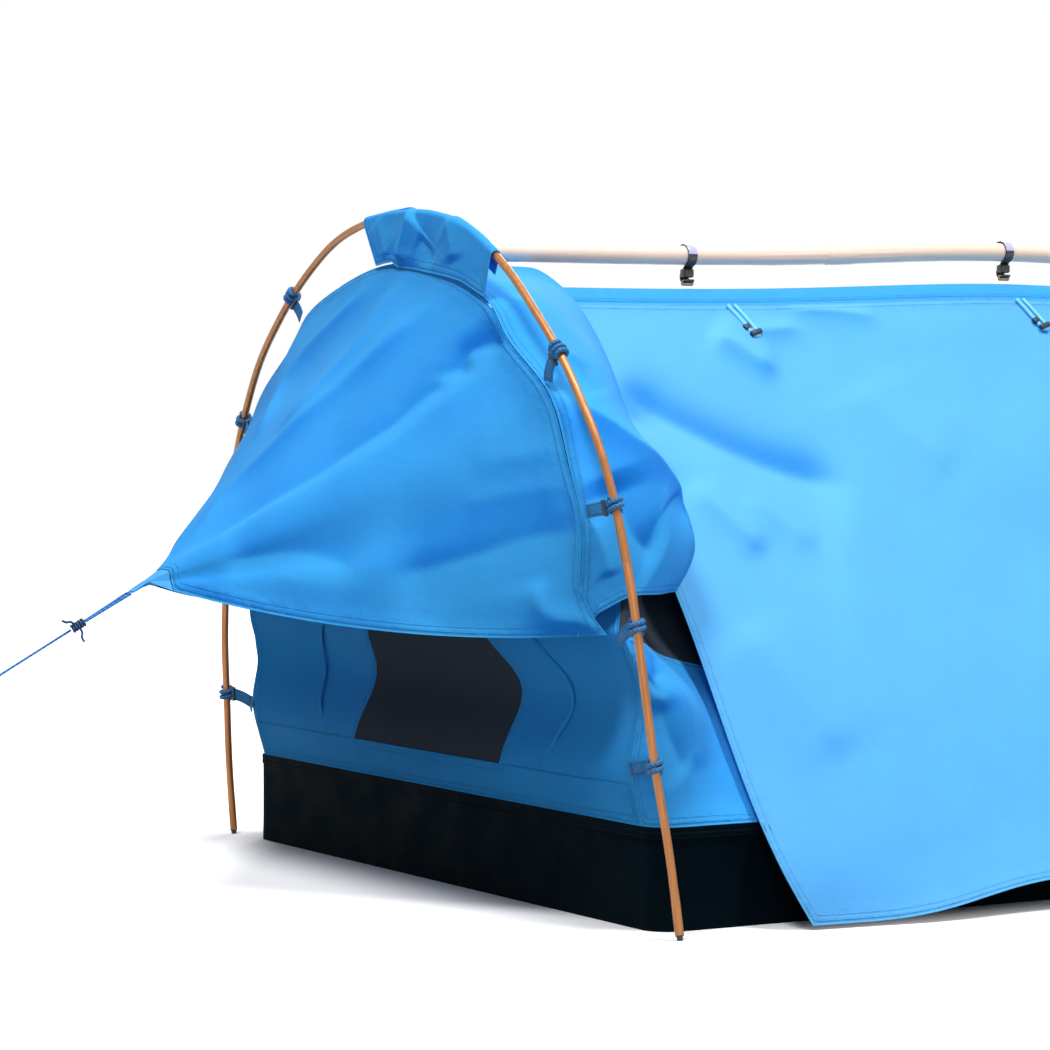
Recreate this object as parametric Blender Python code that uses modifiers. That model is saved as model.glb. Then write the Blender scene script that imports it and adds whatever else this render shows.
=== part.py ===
"""A free standing camping swag: a one person canvas bedroll tent on two hoops and a ridge pole.

Metres, +Z up. The origin is the centre of the tub's flat underside. The front, with the awning,
faces -Y, and the side that faces the viewer of the photograph is +X, called near.
"""

import math

import bmesh
import bpy
from mathutils import Matrix, Vector

# Cloth, webbing and the clearances between touching pieces
canvas = 0.0016
mesh_cloth = 0.001
webbing = 0.002
gap = 0.0003
seam_gap = 0.0009

# Tub and mattress
tub_width = 1.176
tub_length = 2.012
tub_height = 0.132
tub_skin = 0.002
tub_corner = 0.036
mattress_height = 0.062
mattress_crown = 0.012
mattress_play = 0.018
mattress_draw = 0.008
mattress_corner = 0.05

# Hoops: shares of height, half width and lean, from a foot to the crown
hoop_spacing = 2.024
hoop_half_width = 0.652
hoop_height = 0.9385
hoop_lean = 0.055
hoop_tube = 0.011
hoop_wall = 0.001
hoop_segments = 60
hoop_leg_segments = 11
hoop_sides = 8
hoop_shares = (
    (0, 1, 0), (0.12, 0.989, 0.22), (0.231, 0.965, 0.42), (0.32, 0.952, 0.56), (0.418, 0.93, 0.65),
    (0.493, 0.909, 0.73), (0.581, 0.871, 0.8), (0.654, 0.824, 0.85), (0.709, 0.773, 0.91),
    (0.789, 0.684, 0.98), (0.856, 0.574, 1), (0.893, 0.508, 0.98), (0.926, 0.433, 0.96),
    (0.964, 0.331, 0.93), (0.984, 0.236, 0.92), (0.9975, 0.12, 0.91), (1, 0, 0.91),
)
spigot_radius = 0.0038
foot_pin_radius = 0.004
foot_pin_length = 0.0055
foot_collar_length = 0.0025
foot_lift = 0.0003

# Ridge pole and its fittings
pole_radius = 0.014
pole_wall = 0.0012
pole_sides = 12
pole_end_height = 0.892
pole_bow = 0.02
pole_joint = 0.7
ferrule_wall = 0.001
ferrule_length = 0.05
cup_wall = 0.0032
cup_end_wall = 0.002
cup_length = 0.052

# Ridge hooks, each with the ring that is sewn into the ridge
ridge_drop = 0.032
hook_width = 0.015
hook_thickness = 0.003
hook_lower_radius = 0.0085
hook_spacing = 0.584
ring_wire = 0.0015
ring_play = 0.0003

# Body of canvas: the corner line as shares of hood height, wall reach and wall pull
hood_height = pole_end_height - pole_radius - cup_wall - gap - canvas / 2
wall_reach = 0.57
wall_pull = 0.03
wall_inset = 0.001
wrap_radius = 0.036
wrap_least = 0.006
wrap_low = 0.25
wrap_run = 0.14
corner_shares = (
    (0.1515, 0.965, -0.2333), (0.21, 0.967, 0.3), (0.243, 0.974, 0.5), (0.29, 0.974, 0.2),
    (0.335, 0.982, -0.1), (0.38, 0.99, 0.4), (0.43, 0.965, 1), (0.455, 0.9, 0.0), (0.48, 0.875, -0.3),
    (0.55, 0.85, -0.5), (0.66, 0.79, -0.6), (0.74, 0.725, -0.6), (0.8, 0.65, -0.7),
    (0.87, 0.49, -0.7), (0.915, 0.35, -0.7), (0.945, 0.25, -0.7),
)
wall_bow_shares = (
    (0.1515, -0.2333), (0.21, 0.45), (0.25, 0.1), (0.295, -0.8), (0.332, -1.15), (0.365, -0.5),
    (0.395, 0.4), (0.44, 0.6), (0.56, -0.3), (0.92, -0.8),
)
end_wall_top_share = 0.915
side_wall_middle = 0.3
side_wall_corner = 0.38
side_wall_run = 0.3
side_blend = 0.14
inner_ridge = 0.84
mesh_top_drop = 0.0325
window_half_width = 0.215
window_low = 0.185
window_high = 0.62
window_narrow_share = 0.5
window_taper_share = 0.5
window_taper_low = 0.295
window_taper_run = 0.15

# Hood: half sections from the ridge to the lower corner, as height, width and reach shares
hood_half_width = 0.54
seam_reach = 0.072
hood_depth = 0.15
hood_middle_share = 0.45
hood_seam_shares = (
    (1, 0, 0.78), (0.99, 0.167, 0.78), (0.962, 0.352, 0.78), (0.923, 0.535, 0.83),
    (0.87, 0.574, 0.86), (0.801, 0.789, 0.83), (0.737, 0.859, 0.86), (0.657, 0.919, 0.92),
    (0.605, 0.993, 0.97), (0.515, 0.981, 1), (0.43, 0.959, 0.97),
)
hood_middle_shares = (
    (1, 0, -0.13), (0.994, 0.185, -0.13), (0.959, 0.389, -0.13), (0.916, 0.556, -0.13),
    (0.856, 0.685, -0.13), (0.79, 0.796, -0.13), (0.721, 0.889, -0.13), (0.658, 0.944, -0.13),
    (0.584, 0.981, -0.13), (0.527, 0.981, -0.13), (0.476, 0.963, -0.13),
)
hood_rear_shares = (
    (1, 0, -1), (0.987, 0.111, -1), (0.938, 0.278, -0.99), (0.872, 0.389, -1),
    (0.801, 0.481, -1), (0.717, 0.556, -1), (0.666, 0.704, -1), (0.629, 0.778, -1),
    (0.567, 0.852, -0.99), (0.531, 0.843, -0.97), (0.487, 0.833, -0.81),
)

# Awning, from the hood's seam to its peak, with its sags
awning_peak_reach = 0.44
awning_peak_height = 0.432
awning_tip_share = 0.93
awning_edge_sag = 0.025
awning_far_sag = 0.006
awning_fold_sag = 0.03
awning_top_sag = 0.05
awning_side_hollow = 0.035
end_flap_bulge = 0.028
end_flap_inset = 0.005
end_flap_clear = 0.0013

# Sleeve over the hoop's crown
sleeve_near_reach = 0.277
sleeve_far_reach = 0.095
sleeve_low_near = 0.268
sleeve_low_far = 0.048
sleeve_rear_leaf = 0.0289

# Ridge band and flies
band_half_width = 0.0225
band_depth = 0.0275
fly_reach = 0.71
fly_front = 0.1525
fly_blend = 0.45
fly_corner = 0.12
fly_corner_cut = 0.045
fly_hem_low = 0.006
fly_hem_rise = 0.04
fly_hem_start = 0.25
fly_hem_run = 0.35
fly_fold = 0.008
fly_fold_count = 5
fly_front_shares = (
    (0, 0.935), (0.059, 0.93), (0.091, 0.901), (0.145, 0.862), (0.21, 0.801), (0.277, 0.738),
    (0.372, 0.68), (0.411, 0.642), (0.495, 0.572), (0.59, 0.475), (0.708, 0.357), (0.826, 0.225),
    (0.909, 0.127), (0.98, 0.038), (1, 0),
)

# Hoop ties: pole height, anchor height and stand-off from the anchor, highest first
tie_width = 0.019
tie_wrap_gap = 0.0008
tie_turn = 280
near_tie_heights = (
    (0.742, 0.7, 0.002), (0.545, 0.535, 0.0058), (0.392, 0.374, -0.0086), (0.217, 0.212, -0.0005),
)
far_tie_heights = (
    (0.835, 0.8, 0.0055), (0.65, 0.62, 0.0044), (0.42, 0.374, -0.0086), (0.224, 0.212, -0.0005),
)

# Zip sliders at the top of the side walls
slider_length = 0.014
slider_height = 0.01
slider_thickness = 0.004
slider_tab_length = 0.022
slider_tab_width = 0.006
slider_start = 0.4

# Tie loops for the rolled fly
loop_cord_radius = 0.0025
loop_drop = 0.045
loop_slant = 0.02
loop_half_width = 0.006
loop_places = (0.478, 1.015)
loop_clear = 0.0008

# Guy rope, from the awning's strap to its peg
rope_radius = 0.00175
rope_slope = 0.5586
strap_width = 0.02
strap_reach = 0.021
knot_reach = 0.098
knot_radius = 0.007
knot_half_length = 0.012
rope_loop_radius = 0.0072
rope_loop_waist = 0.0032
peg_radius = 0.003
peg_height = 0.026
peg_hook = 0.007

hoop_y = hoop_spacing / 2
awning_peak = Vector((0, -(hoop_y + awning_peak_reach), awning_peak_height))


def paint(name, colour, roughness, metallic=0.0):
    """A plain finish, made once for each name."""
    found = bpy.data.materials.get(name)
    if found:
        return found
    made = bpy.data.materials.new(name)
    made.use_nodes = True
    shader = made.node_tree.nodes["Principled BSDF"]
    shader.inputs["Base Color"].default_value = (*colour, 1)
    shader.inputs["Roughness"].default_value = roughness
    shader.inputs["Metallic"].default_value = metallic
    made.diffuse_color = (*colour, 1)
    return made


def blue_canvas():
    return paint("blue_canvas", (0.09, 0.4, 0.88), 0.8)


def dark_blue_canvas():
    return paint("dark_blue_canvas", (0.03, 0.2, 0.48), 0.8)


def dark_mesh():
    return paint("dark_mesh", (0.012, 0.015, 0.02), 0.9)


def bronze_tube():
    return paint("bronze_tube", (0.5, 0.22, 0.07), 0.35, 0.8)


def silver_tube():
    return paint("silver_tube", (0.75, 0.72, 0.7), 0.3, 0.8)


def black_plastic():
    return paint("black_plastic", (0.02, 0.02, 0.025), 0.35)


def blue_webbing():
    return paint("blue_webbing", (0.02, 0.16, 0.42), 0.75)


def curve_value(place, table, column=1):
    """The value at a place on a smooth line through a table's rows, whose first column rises."""
    rows = sorted(table)
    if place <= rows[0][0]:
        return rows[0][column]
    for low, high in zip(rows, rows[1:]):
        if place <= high[0]:
            share = (place - low[0]) / (high[0] - low[0])
            return low[column] + (high[column] - low[column]) * share
    return rows[-1][column]


def smooth_through(points, steps):
    """Points on a Catmull-Rom curve through the given ones."""
    ends = [points[0] * 2 - points[1], *points, points[-1] * 2 - points[-2]]
    found = []
    for a, b, c, d in zip(ends, ends[1:], ends[2:], ends[3:]):
        for step in range(steps):
            t = step / steps
            found.append(
                (b * 2 + (c - a) * t + (a * 2 - b * 5 + c * 4 - d) * t**2 + (b * 3 - a - c * 3 + d) * t**3) / 2
            )
    return [*found, points[-1]]


def along(points, distance):
    """The point at a distance along a line of points."""
    left = max(distance, 0)
    for a, b in zip(points, points[1:]):
        step = (b - a).length
        if left <= step:
            return a.lerp(b, left / step)
        left -= step
    return points[-1].copy()


def length_of(points):
    return sum((b - a).length for a, b in zip(points, points[1:]))


def resample(points, count, start=0.0, end=0.0):
    """Evenly spaced points, with a length left off each end."""
    whole = length_of(points)
    run = whole - start - end
    return [along(points, start + run * step / count) for step in range(count + 1)]


def smoothstep(share):
    held = min(max(share, 0), 1)
    return held * held * (3 - 2 * held)


def fall(distance, reach):
    """One at zero, easing to nothing at the reach."""
    return 0.5 + 0.5 * math.cos(math.pi * min(distance / reach, 1))


def keep(made, material):
    """Puts an object in the swag's collection with its finish."""
    made.data.materials.clear()
    made.data.materials.append(material)
    swag.objects.link(made)
    return made


def object_from(bm, name, material):
    mesh = bpy.data.meshes.new(name)
    bm.to_mesh(mesh)
    bm.free()
    return keep(bpy.data.objects.new(name, mesh), material)


def sheet(name, surface, across, down, thickness, material, hole=None, close=False):
    """A cloth or strip of even thickness, from a grid whose corners a surface function places."""
    bm = bmesh.new()
    columns, rows = len(across) - 1, len(down) - 1
    bmesh.ops.create_grid(bm, x_segments=columns, y_segments=rows, size=0.5)
    low = Vector((min(v.co.x for v in bm.verts), min(v.co.y for v in bm.verts), 0))
    high = Vector((max(v.co.x for v in bm.verts), max(v.co.y for v in bm.verts), 0))
    span = high - low
    place = {
        v: (
            across[round((v.co.x - low.x) / span.x * columns)],
            down[round((v.co.y - low.y) / span.y * rows)],
        )
        for v in bm.verts
    }
    if hole:
        a0, a1, b0, b1 = hole
        cut = [
            f
            for f in bm.faces
            if a0 < sum(place[v][0] for v in f.verts) / 4 < a1
            and b0 < sum(place[v][1] for v in f.verts) / 4 < b1
        ]
        bmesh.ops.delete(bm, geom=cut, context="FACES")
    for v in bm.verts:
        v.co = surface(*place[v])
    if close:
        bmesh.ops.remove_doubles(bm, verts=bm.verts, dist=gap / 3)
    made = object_from(bm, name, material)
    solid = made.modifiers.new("thickness", "SOLIDIFY")
    solid.thickness = thickness
    solid.offset = 0
    solid.use_even_offset = close
    made.data.shade_smooth()
    return made


def rod(name, points, radius, material, shares=None, sides=2, cyclic=False):
    """A solid rod or rope along a line, whose radius may change by shares."""
    curve = bpy.data.curves.new(name, "CURVE")
    curve.dimensions = "3D"
    curve.bevel_depth = radius
    curve.bevel_resolution = sides
    curve.use_fill_caps = not cyclic
    spline = curve.splines.new("POLY")
    spline.points.add(len(points) - 1)
    for at, point in enumerate(points):
        spline.points[at].co = (*point, 1)
        spline.points[at].radius = shares[at] if shares else 1
    spline.use_cyclic_u = cyclic
    return keep(bpy.data.objects.new(name, curve), material)


def frame_at(points, at, level):
    """The line's direction there, and two directions square to it."""
    ahead = points[min(at + 1, len(points) - 1)] - points[max(at - 1, 0)]
    ahead = ahead.normalized()
    side = ahead.cross(level).normalized()
    return ahead, side, side.cross(ahead)


def pipe(name, points, radius, wall, sides, level, material, last=None):
    """An open ended tube along a line, as far as its last station."""
    middle = radius - wall / 2
    stations = list(range(len(points) if last is None else last + 1))

    def surface(turn, at):
        _, side, up = frame_at(points, at, level)
        angle = 2 * math.pi * turn / sides
        return points[at] + middle * (math.cos(angle) * side + math.sin(angle) * up)

    return sheet(name, surface, list(range(sides + 1)), stations, wall, material, close=True)


def steps(low, high, count):
    return [low + (high - low) * step / count for step in range(count + 1)]


def end_name(end):
    return "front" if end < 0 else "rear"


def side_name(side):
    return "near" if side > 0 else "far"


# The swag's lines, which its pieces share


def pole_axis(y):
    """Height of the ridge pole's axis."""
    share = max(1 - abs(y) / hoop_y, 0)
    return pole_end_height + pole_bow * (0.5 - 0.5 * math.cos(math.pi * share**2))


def ridge(y):
    """Height of the canvas ridge, which hangs an even drop under the pole."""
    return pole_axis(y) - pole_radius - ridge_drop


def hoop_line(end):
    """The hoop's axis from the near foot to the far foot."""
    half = [
        Vector((hoop_half_width * wide, end * (hoop_y + hoop_lean * lean), hoop_height * high))
        for high, wide, lean in hoop_shares
    ]
    other = [Vector((-p.x, p.y, p.z)) for p in reversed(half[:-1])]
    return smooth_through([*half, *other], 6)


def hoop_points(end):
    """The hoop's even stations, without the feet."""
    foot = foot_pin_length + foot_collar_length
    return resample(hoop_line(end), hoop_segments, foot, foot)


def hoop_at(end, side, height):
    """The hoop's axis and direction at a height on one side."""
    line = hoop_points(end)
    half = line[: len(line) // 2 + 1] if side > 0 else list(reversed(line[len(line) // 2 :]))
    for a, b in zip(half, half[1:]):
        if a.z <= height <= b.z:
            return a.lerp(b, (height - a.z) / (b.z - a.z)), (b - a).normalized()
    return half[-1], Vector((side, 0, 0))


def hoop_across(end, x):
    """The hoop's axis over a place across the swag, near the crown."""
    line = hoop_points(end)
    for a, b in zip(line, line[1:]):
        if a.x >= x >= b.x and a.z > hoop_height / 2:
            return a.lerp(b, (a.x - x) / (a.x - b.x))
    return line[len(line) // 2]


def seam_across(end, x):
    """The hood's front seam over a place across the swag, near the crown."""
    share = abs(x) / hood_half_width
    table = [(wide, high, reach) for high, wide, reach in hood_seam_shares[:5]]
    high, reach = curve_value(share, table, 1), curve_value(share, table, 2)
    return Vector((x, end * (hoop_y + seam_reach * reach), hood_height * high))


def seam_at(end, side, height):
    """The hood's front seam at a height."""
    share = height / hood_height
    wide = curve_value(share, [(h, w, r) for h, w, r in hood_seam_shares], 1)
    reach = curve_value(share, [(h, w, r) for h, w, r in hood_seam_shares], 2)
    return Vector((side * hood_half_width * wide, end * (hoop_y + seam_reach * reach), height))


def corner(end, side, z):
    """The corner line where an end wall meets a side wall."""
    share = z / hood_height
    wide, pull = curve_value(share, corner_shares, 1), curve_value(share, corner_shares, 2)
    return Vector((side * wall_reach * wide, end * (hoop_y + wall_pull * pull), z))


wall_foot = tub_height + gap + canvas / 3


def wrap(z):
    """Radius of the body's upright corner."""
    return wrap_least + (wrap_radius - wrap_least) * (1 - smoothstep((z - wrap_low) / wrap_run))


def inner_half(y, z):
    """Half width of the body of walls and side mesh."""
    middle = (tub_width / 2 - wall_inset) * (inner_ridge - z) / (inner_ridge - wall_foot)
    edge = corner(1, 1, z)
    away = max(edge.y - wrap(z) - abs(y), 0)
    return middle + (edge.x + wrap(z) - middle) * fall(away, side_blend)


def wrapped(end, side, z, turn):
    """A point of the rounded upright corner: turn is zero at the side, one at the end wall's seam."""
    edge, radius, angle = corner(1, 1, z), wrap(z), math.pi / 2 * turn
    x = edge.x + seam_gap / 2 + radius * math.cos(angle)
    return Vector((side * x, end * (edge.y - radius * (1 - math.sin(angle))), z))


def side_wall_top(y):
    away = max(hoop_y - abs(y), 0)
    left = max(1 - away / side_wall_run, 0)
    return side_wall_middle + (side_wall_corner - side_wall_middle) * left**1.5


def fly_hem(y):
    away = hoop_y - abs(y)
    return fly_hem_low + fly_hem_rise * smoothstep((away - fly_hem_start) / fly_hem_run)


def fly_half(y, z):
    """Half width of the fly's plain surface, before its folds."""
    share = min(z / ridge(y), 1)
    away = max(hoop_y - abs(y) - fly_front, 0)
    straight = 1 - share
    front = curve_value(share, fly_front_shares)
    return fly_reach * (straight + (front - straight) * fall(away, fly_blend))


# Tub and mattress


def make_tub():
    bm = bmesh.new()
    bmesh.ops.create_cube(bm, size=1)
    bmesh.ops.scale(bm, vec=(tub_width, tub_length, tub_height), verts=bm.verts)
    bmesh.ops.translate(bm, vec=(0, 0, tub_height / 2), verts=bm.verts)
    upright = [e for e in bm.edges if abs(e.verts[0].co.z - e.verts[1].co.z) > tub_skin]
    bmesh.ops.bevel(bm, geom=upright, offset=tub_corner, segments=3, profile=0.5, affect="EDGES")
    lid = [f for f in bm.faces if f.normal.z > 0.9]
    bmesh.ops.delete(bm, geom=lid, context="FACES")
    made = object_from(bm, "pvc_tub", paint("black_pvc", (0.008, 0.012, 0.018), 0.5))
    solid = made.modifiers.new("skin", "SOLIDIFY")
    solid.thickness = tub_skin
    solid.offset = -1
    solid.use_even_offset = True


def make_mattress():
    """A crowned pad whose sides draw in between its corners."""
    half_x = tub_width / 2 - tub_skin - mattress_play
    half_y = tub_length / 2 - tub_skin - mattress_play
    bm = bmesh.new()
    bmesh.ops.create_cube(bm, size=1)
    bmesh.ops.scale(bm, vec=(half_x * 2, half_y * 2, mattress_height), verts=bm.verts)
    bmesh.ops.translate(bm, vec=(0, 0, tub_skin + gap + mattress_height / 2), verts=bm.verts)
    upright = [e for e in bm.edges if abs(e.verts[0].co.z - e.verts[1].co.z) > tub_skin]
    bmesh.ops.bevel(bm, geom=upright, offset=mattress_corner, segments=3, profile=0.5, affect="EDGES")
    for axis, count, half in ((0, 6, half_x), (1, 8, half_y)):
        for place in steps(-half, half, count)[1:-1]:
            normal = Vector((1, 0, 0)) if axis == 0 else Vector((0, 1, 0))
            cut = [*bm.verts, *bm.edges, *bm.faces]
            bmesh.ops.bisect_plane(bm, geom=cut, dist=gap / 3, plane_co=normal * place, plane_no=normal)
    top = tub_skin + gap + mattress_height
    for v in bm.verts:
        across, length = v.co.x / half_x, v.co.y / half_y
        dome = (1 - across**2) * (1 - length**4)
        if v.co.z > top - tub_skin:
            v.co.z += mattress_crown * dome
        v.co.x -= math.copysign(mattress_draw, v.co.x) * (1 - length**2) * across**4
        v.co.y -= math.copysign(mattress_draw, v.co.y) * (1 - across**2) * length**4
    made = object_from(bm, "mattress", paint("grey_ticking", (0.3, 0.32, 0.34), 0.9))
    edge = made.modifiers.new("edge", "BEVEL")
    edge.width = mattress_corner / 4
    edge.segments = 2
    edge.limit_method = "ANGLE"
    edge.angle_limit = math.radians(50)


# Canvas body


def window_half(z):
    half = min(window_half_width, window_narrow_share * corner(1, 1, z).x)
    return half * (1 - window_taper_share * smoothstep((z - window_taper_low) / window_taper_run))


def end_wall_surface(end, inset):
    """An end wall: its sides reach the corner lines, and its middle bows inwards."""

    def surface(u, z):
        edge = corner(end, 1, z)
        reach = edge.x - inset
        inner = window_half(z)
        x = inner * u * 2 if abs(u) <= 0.5 else math.copysign(inner + (reach - inner) * (abs(u) * 2 - 1), u)
        bow = wall_pull * curve_value(z / hood_height, wall_bow_shares)
        middle = end * (hoop_y + bow)
        return Vector((x, middle + (edge.y - middle) * abs(u) ** 5, z))

    return surface


def canvas_heights():
    """Stations up an end's corner, from the tub to the top of the side wall's canvas."""
    return [wall_foot, window_low, 0.22, 0.26, 0.3, 0.34, side_wall_corner]


def wall_heights():
    middle = [side_wall_corner + seam_gap, 0.42, 0.48, 0.56, window_high, 0.7]
    return [*canvas_heights(), *middle, hood_height * end_wall_top_share]


def make_end_wall(end):
    name = end_name(end)
    surface = end_wall_surface(end, seam_gap / 2)
    across = [*steps(-1, -0.5, 4), *steps(-0.5, 0.5, 4)[1:], *steps(0.5, 1, 4)[1:]]
    heights = wall_heights()
    hole = (-0.5, 0.5, window_low, window_high)
    sheet(f"{name}_wall", surface, across, heights, canvas, blue_canvas(), hole=hole)
    inner = [z for z in heights if window_low <= z <= window_high]
    inner[0] += seam_gap
    inner[-1] -= seam_gap
    trim = 0.5 - seam_gap / window_half_width
    pane = steps(-trim, trim, 4)
    sheet(f"{name}_window_mesh", surface, pane, inner, mesh_cloth, dark_mesh())


def end_stations(count_middle):
    """Places along the swag's length as shares from -1 to 1, close together at the ends."""
    close = [-1, -0.67, -0.33, 0, 0.02, 0.045, 0.075, 0.105, 0.135, 0.17, 0.27]
    front = [share - 1 for share in close]
    rear = [1 - share for share in reversed(close)]
    return [*front, *steps(front[-1], rear[0], count_middle)[1:-1], *rear]


def side_point(side, share, z):
    """A point of a side: beyond a share of one it goes round the corner to the end wall's seam."""
    if abs(share) > 1:
        return wrapped(math.copysign(1, share), side, z, abs(share) - 1)
    y = share * (corner(1, 1, z).y - wrap(z))
    return Vector((side * inner_half(y, z), y, z))


def make_side(side):
    name = side_name(side)

    def wall(share, level):
        top = side_wall_top(share * hoop_y)
        return side_point(side, share, wall_foot + (top - wall_foot) * level)

    def net(share, level):
        low = side_wall_top(share * hoop_y) + seam_gap
        top = ridge(share * hoop_y) - mesh_top_drop
        return side_point(side, share, low + (top - low) * level)

    stations = end_stations(4)
    levels = [(z - wall_foot) / (side_wall_corner - wall_foot) for z in canvas_heights()]
    sheet(f"{name}_side_wall", wall, stations, levels, canvas, blue_canvas())
    top = ridge(hoop_y) - mesh_top_drop
    heights = [*wall_heights()[len(levels) :], top]
    low = heights[0]
    levels = [(z - low) / (top - low) for z in heights]
    sheet(f"{name}_side_mesh", net, stations, levels, mesh_cloth, dark_mesh())


def make_ridge_band():
    def surface(u, share):
        y = share * (hoop_y - seam_gap * 20)
        return Vector((band_half_width * u, y, ridge(y) - band_depth * abs(u) ** 1.25))

    sheet("ridge_band", surface, [-1, -0.5, 0, 0.5, 1], steps(-1, 1, 20), canvas, blue_canvas())


# Hoods, awning, end flap and sleeves


def hood_point(end, row, at):
    """A control point of a hood: at counts from the near lower corner over the ridge."""
    count = len(row) - 1
    index = count - at if at <= count else at - count
    side = 1 if at <= count else -1
    high, wide, reach = row[index]
    step = seam_reach if reach > 0 else hood_depth
    return Vector((side * hood_half_width * wide, end * (hoop_y + step * reach), hood_height * high))


def hood_surface(end):
    def surface(at, v):
        m = hood_middle_share
        first, second, third = (
            hood_point(end, row, at)
            for row in (hood_seam_shares, hood_middle_shares, hood_rear_shares)
        )
        return (
            first * ((v - m) * (v - 1) / m)
            + second * (v * (1 - v) / (m * (1 - m)))
            + third * (v * (v - m) / (1 - m))
        )

    return surface


def seam_points(end):
    return [hood_point(end, hood_seam_shares, at) for at in range(2 * len(hood_seam_shares) - 1)]


def make_hood(end):
    columns = list(range(2 * len(hood_seam_shares) - 1))
    sheet(f"{end_name(end)}_hood", hood_surface(end), columns, steps(0, 1, 5), canvas, blue_canvas())


def awning_point(at, b):
    """A point of the awning: at counts along the seam, b runs from the seam to the peak."""
    seam = seam_points(-1)
    count = len(seam) - 1
    start = seam[at]
    fold = len(hood_seam_shares) - 5
    from_edge = min(at, count - at)
    point = start.lerp(awning_peak, b)
    wave = 4 * b * (1 - b)
    if from_edge <= fold:
        share = from_edge / fold
        sag = awning_edge_sag if at < count / 2 else awning_far_sag
        point.z -= wave * (sag + (awning_fold_sag - sag) * share)
        point.x -= math.copysign(wave * awning_side_hollow * math.sin(math.pi * share), point.x)
    else:
        share = (from_edge - fold) / (count / 2 - fold)
        point.z -= wave * (awning_fold_sag + (awning_top_sag - awning_fold_sag) * math.sin(math.pi * share / 2))
    return point


def make_awning():
    count = 2 * len(hood_seam_shares) - 2
    first = seam_gap / awning_peak_reach

    def surface(at, b):
        return awning_point(at, first + (awning_tip_share - first) * b)

    rows = [0, 0.06, 0.14, 0.23, 0.33, 0.43, 0.54, 0.65, 0.76, 0.87, 1]
    sheet("front_awning", surface, list(range(count + 1)), rows, canvas, blue_canvas())


def strap_end():
    return awning_peak + Vector((0, -strap_reach, -strap_reach * rope_slope))


def make_awning_tip():
    """The webbing patch that gathers the awning's point, and the strap sewn into it."""
    count = 2 * len(hood_seam_shares) - 2
    picks = [0, 3, 6, 8, 10, 12, 14, 17, count]
    lower = len(picks)
    start = awning_tip_share + seam_gap / awning_peak_reach
    arch = [awning_point(at, start) for at in picks]
    back = [Vector((p.x, p.y, arch[0].z + (p.z - arch[0].z) / 4)) for p in reversed(arch[1:-1])]
    first = [*arch, *back]
    bm = bmesh.new()
    rings = [[bm.verts.new(p) for p in first]]
    for centre, half, thick in (
        (awning_peak, strap_width / 2, webbing * 2),
        (strap_end(), strap_width / 2, webbing),
    ):
        ring = []
        for at in range(lower):
            x = half * (1 - 2 * at / (lower - 1))
            ring.append(bm.verts.new(centre + Vector((x, 0, thick / 2))))
        for at in range(lower - 2):
            x = half * (2 * (at + 1) / (lower - 1) - 1)
            ring.append(bm.verts.new(centre + Vector((x, 0, -thick / 2))))
        rings.append(ring)
    for one, two in zip(rings, rings[1:]):
        for at in range(len(one)):
            nxt = (at + 1) % len(one)
            bm.faces.new((one[at], one[nxt], two[nxt], two[at]))
    bm.faces.new(list(reversed(rings[0])))
    bm.faces.new(rings[-1])
    bmesh.ops.triangulate(bm, faces=[f for f in bm.faces if len(f.verts) > 4])
    bmesh.ops.recalc_face_normals(bm, faces=bm.faces)
    object_from(bm, "awning_strap", blue_webbing())


def make_end_flap():
    """The rear end's canvas flap, which hangs closed from the hood's top."""
    top = hood_seam_shares[1][0] * hood_height
    low = hood_seam_shares[-1][0] * hood_height

    def surface(u, z):
        edge = seam_at(1, 1, z)
        half = edge.x - end_flap_inset
        level = (top - z) / (top - low)
        bulge = end_flap_bulge * (1 - u**2) * math.sin(math.pi * level)
        return Vector((half * u, edge.y + end_flap_clear + bulge, z))

    heights = sorted(share * hood_height for share, _, _ in hood_seam_shares[1:])
    sheet("rear_end_flap", surface, steps(-1, 1, 8), heights, canvas, blue_canvas())


def make_sleeve(end):
    """A band folded over the hoop's crown, long in front and short behind."""
    ring = (hoop_tube / 2 + seam_gap + canvas / 2) / math.cos(math.radians(18))
    turns = 5

    def surface(x, b):
        top = hoop_across(end, x)
        share = (x + sleeve_far_reach) / (sleeve_near_reach + sleeve_far_reach)
        low = seam_across(end, -sleeve_low_far + (sleeve_low_near + sleeve_low_far) * share)
        low += Vector((0, end * 0.006, 0.003))
        ahead = hoop_across(end, top.x + hoop_tube) - hoop_across(end, top.x - hoop_tube)
        ahead = ahead.normalized()
        front = Vector((0, end, 0))
        up = (front.cross(ahead) * end).normalized()
        up = up if up.z > 0 else -up
        if b == 0:
            return top - front * ring - up * sleeve_rear_leaf
        if b <= turns + 1:
            angle = math.pi * (b - 1) / turns
            return top - front * ring * math.cos(angle) + up * ring * math.sin(angle)
        return (top + front * ring).lerp(low, (b - turns - 1) / 4)

    inside = [p.x for p in reversed(hoop_points(end)) if -sleeve_far_reach < p.x < sleeve_near_reach]
    columns = [-sleeve_far_reach, *inside, sleeve_near_reach]
    sheet(f"{end_name(end)}_sleeve", surface, columns, list(range(turns + 6)), canvas, dark_blue_canvas())


# Flies


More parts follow.
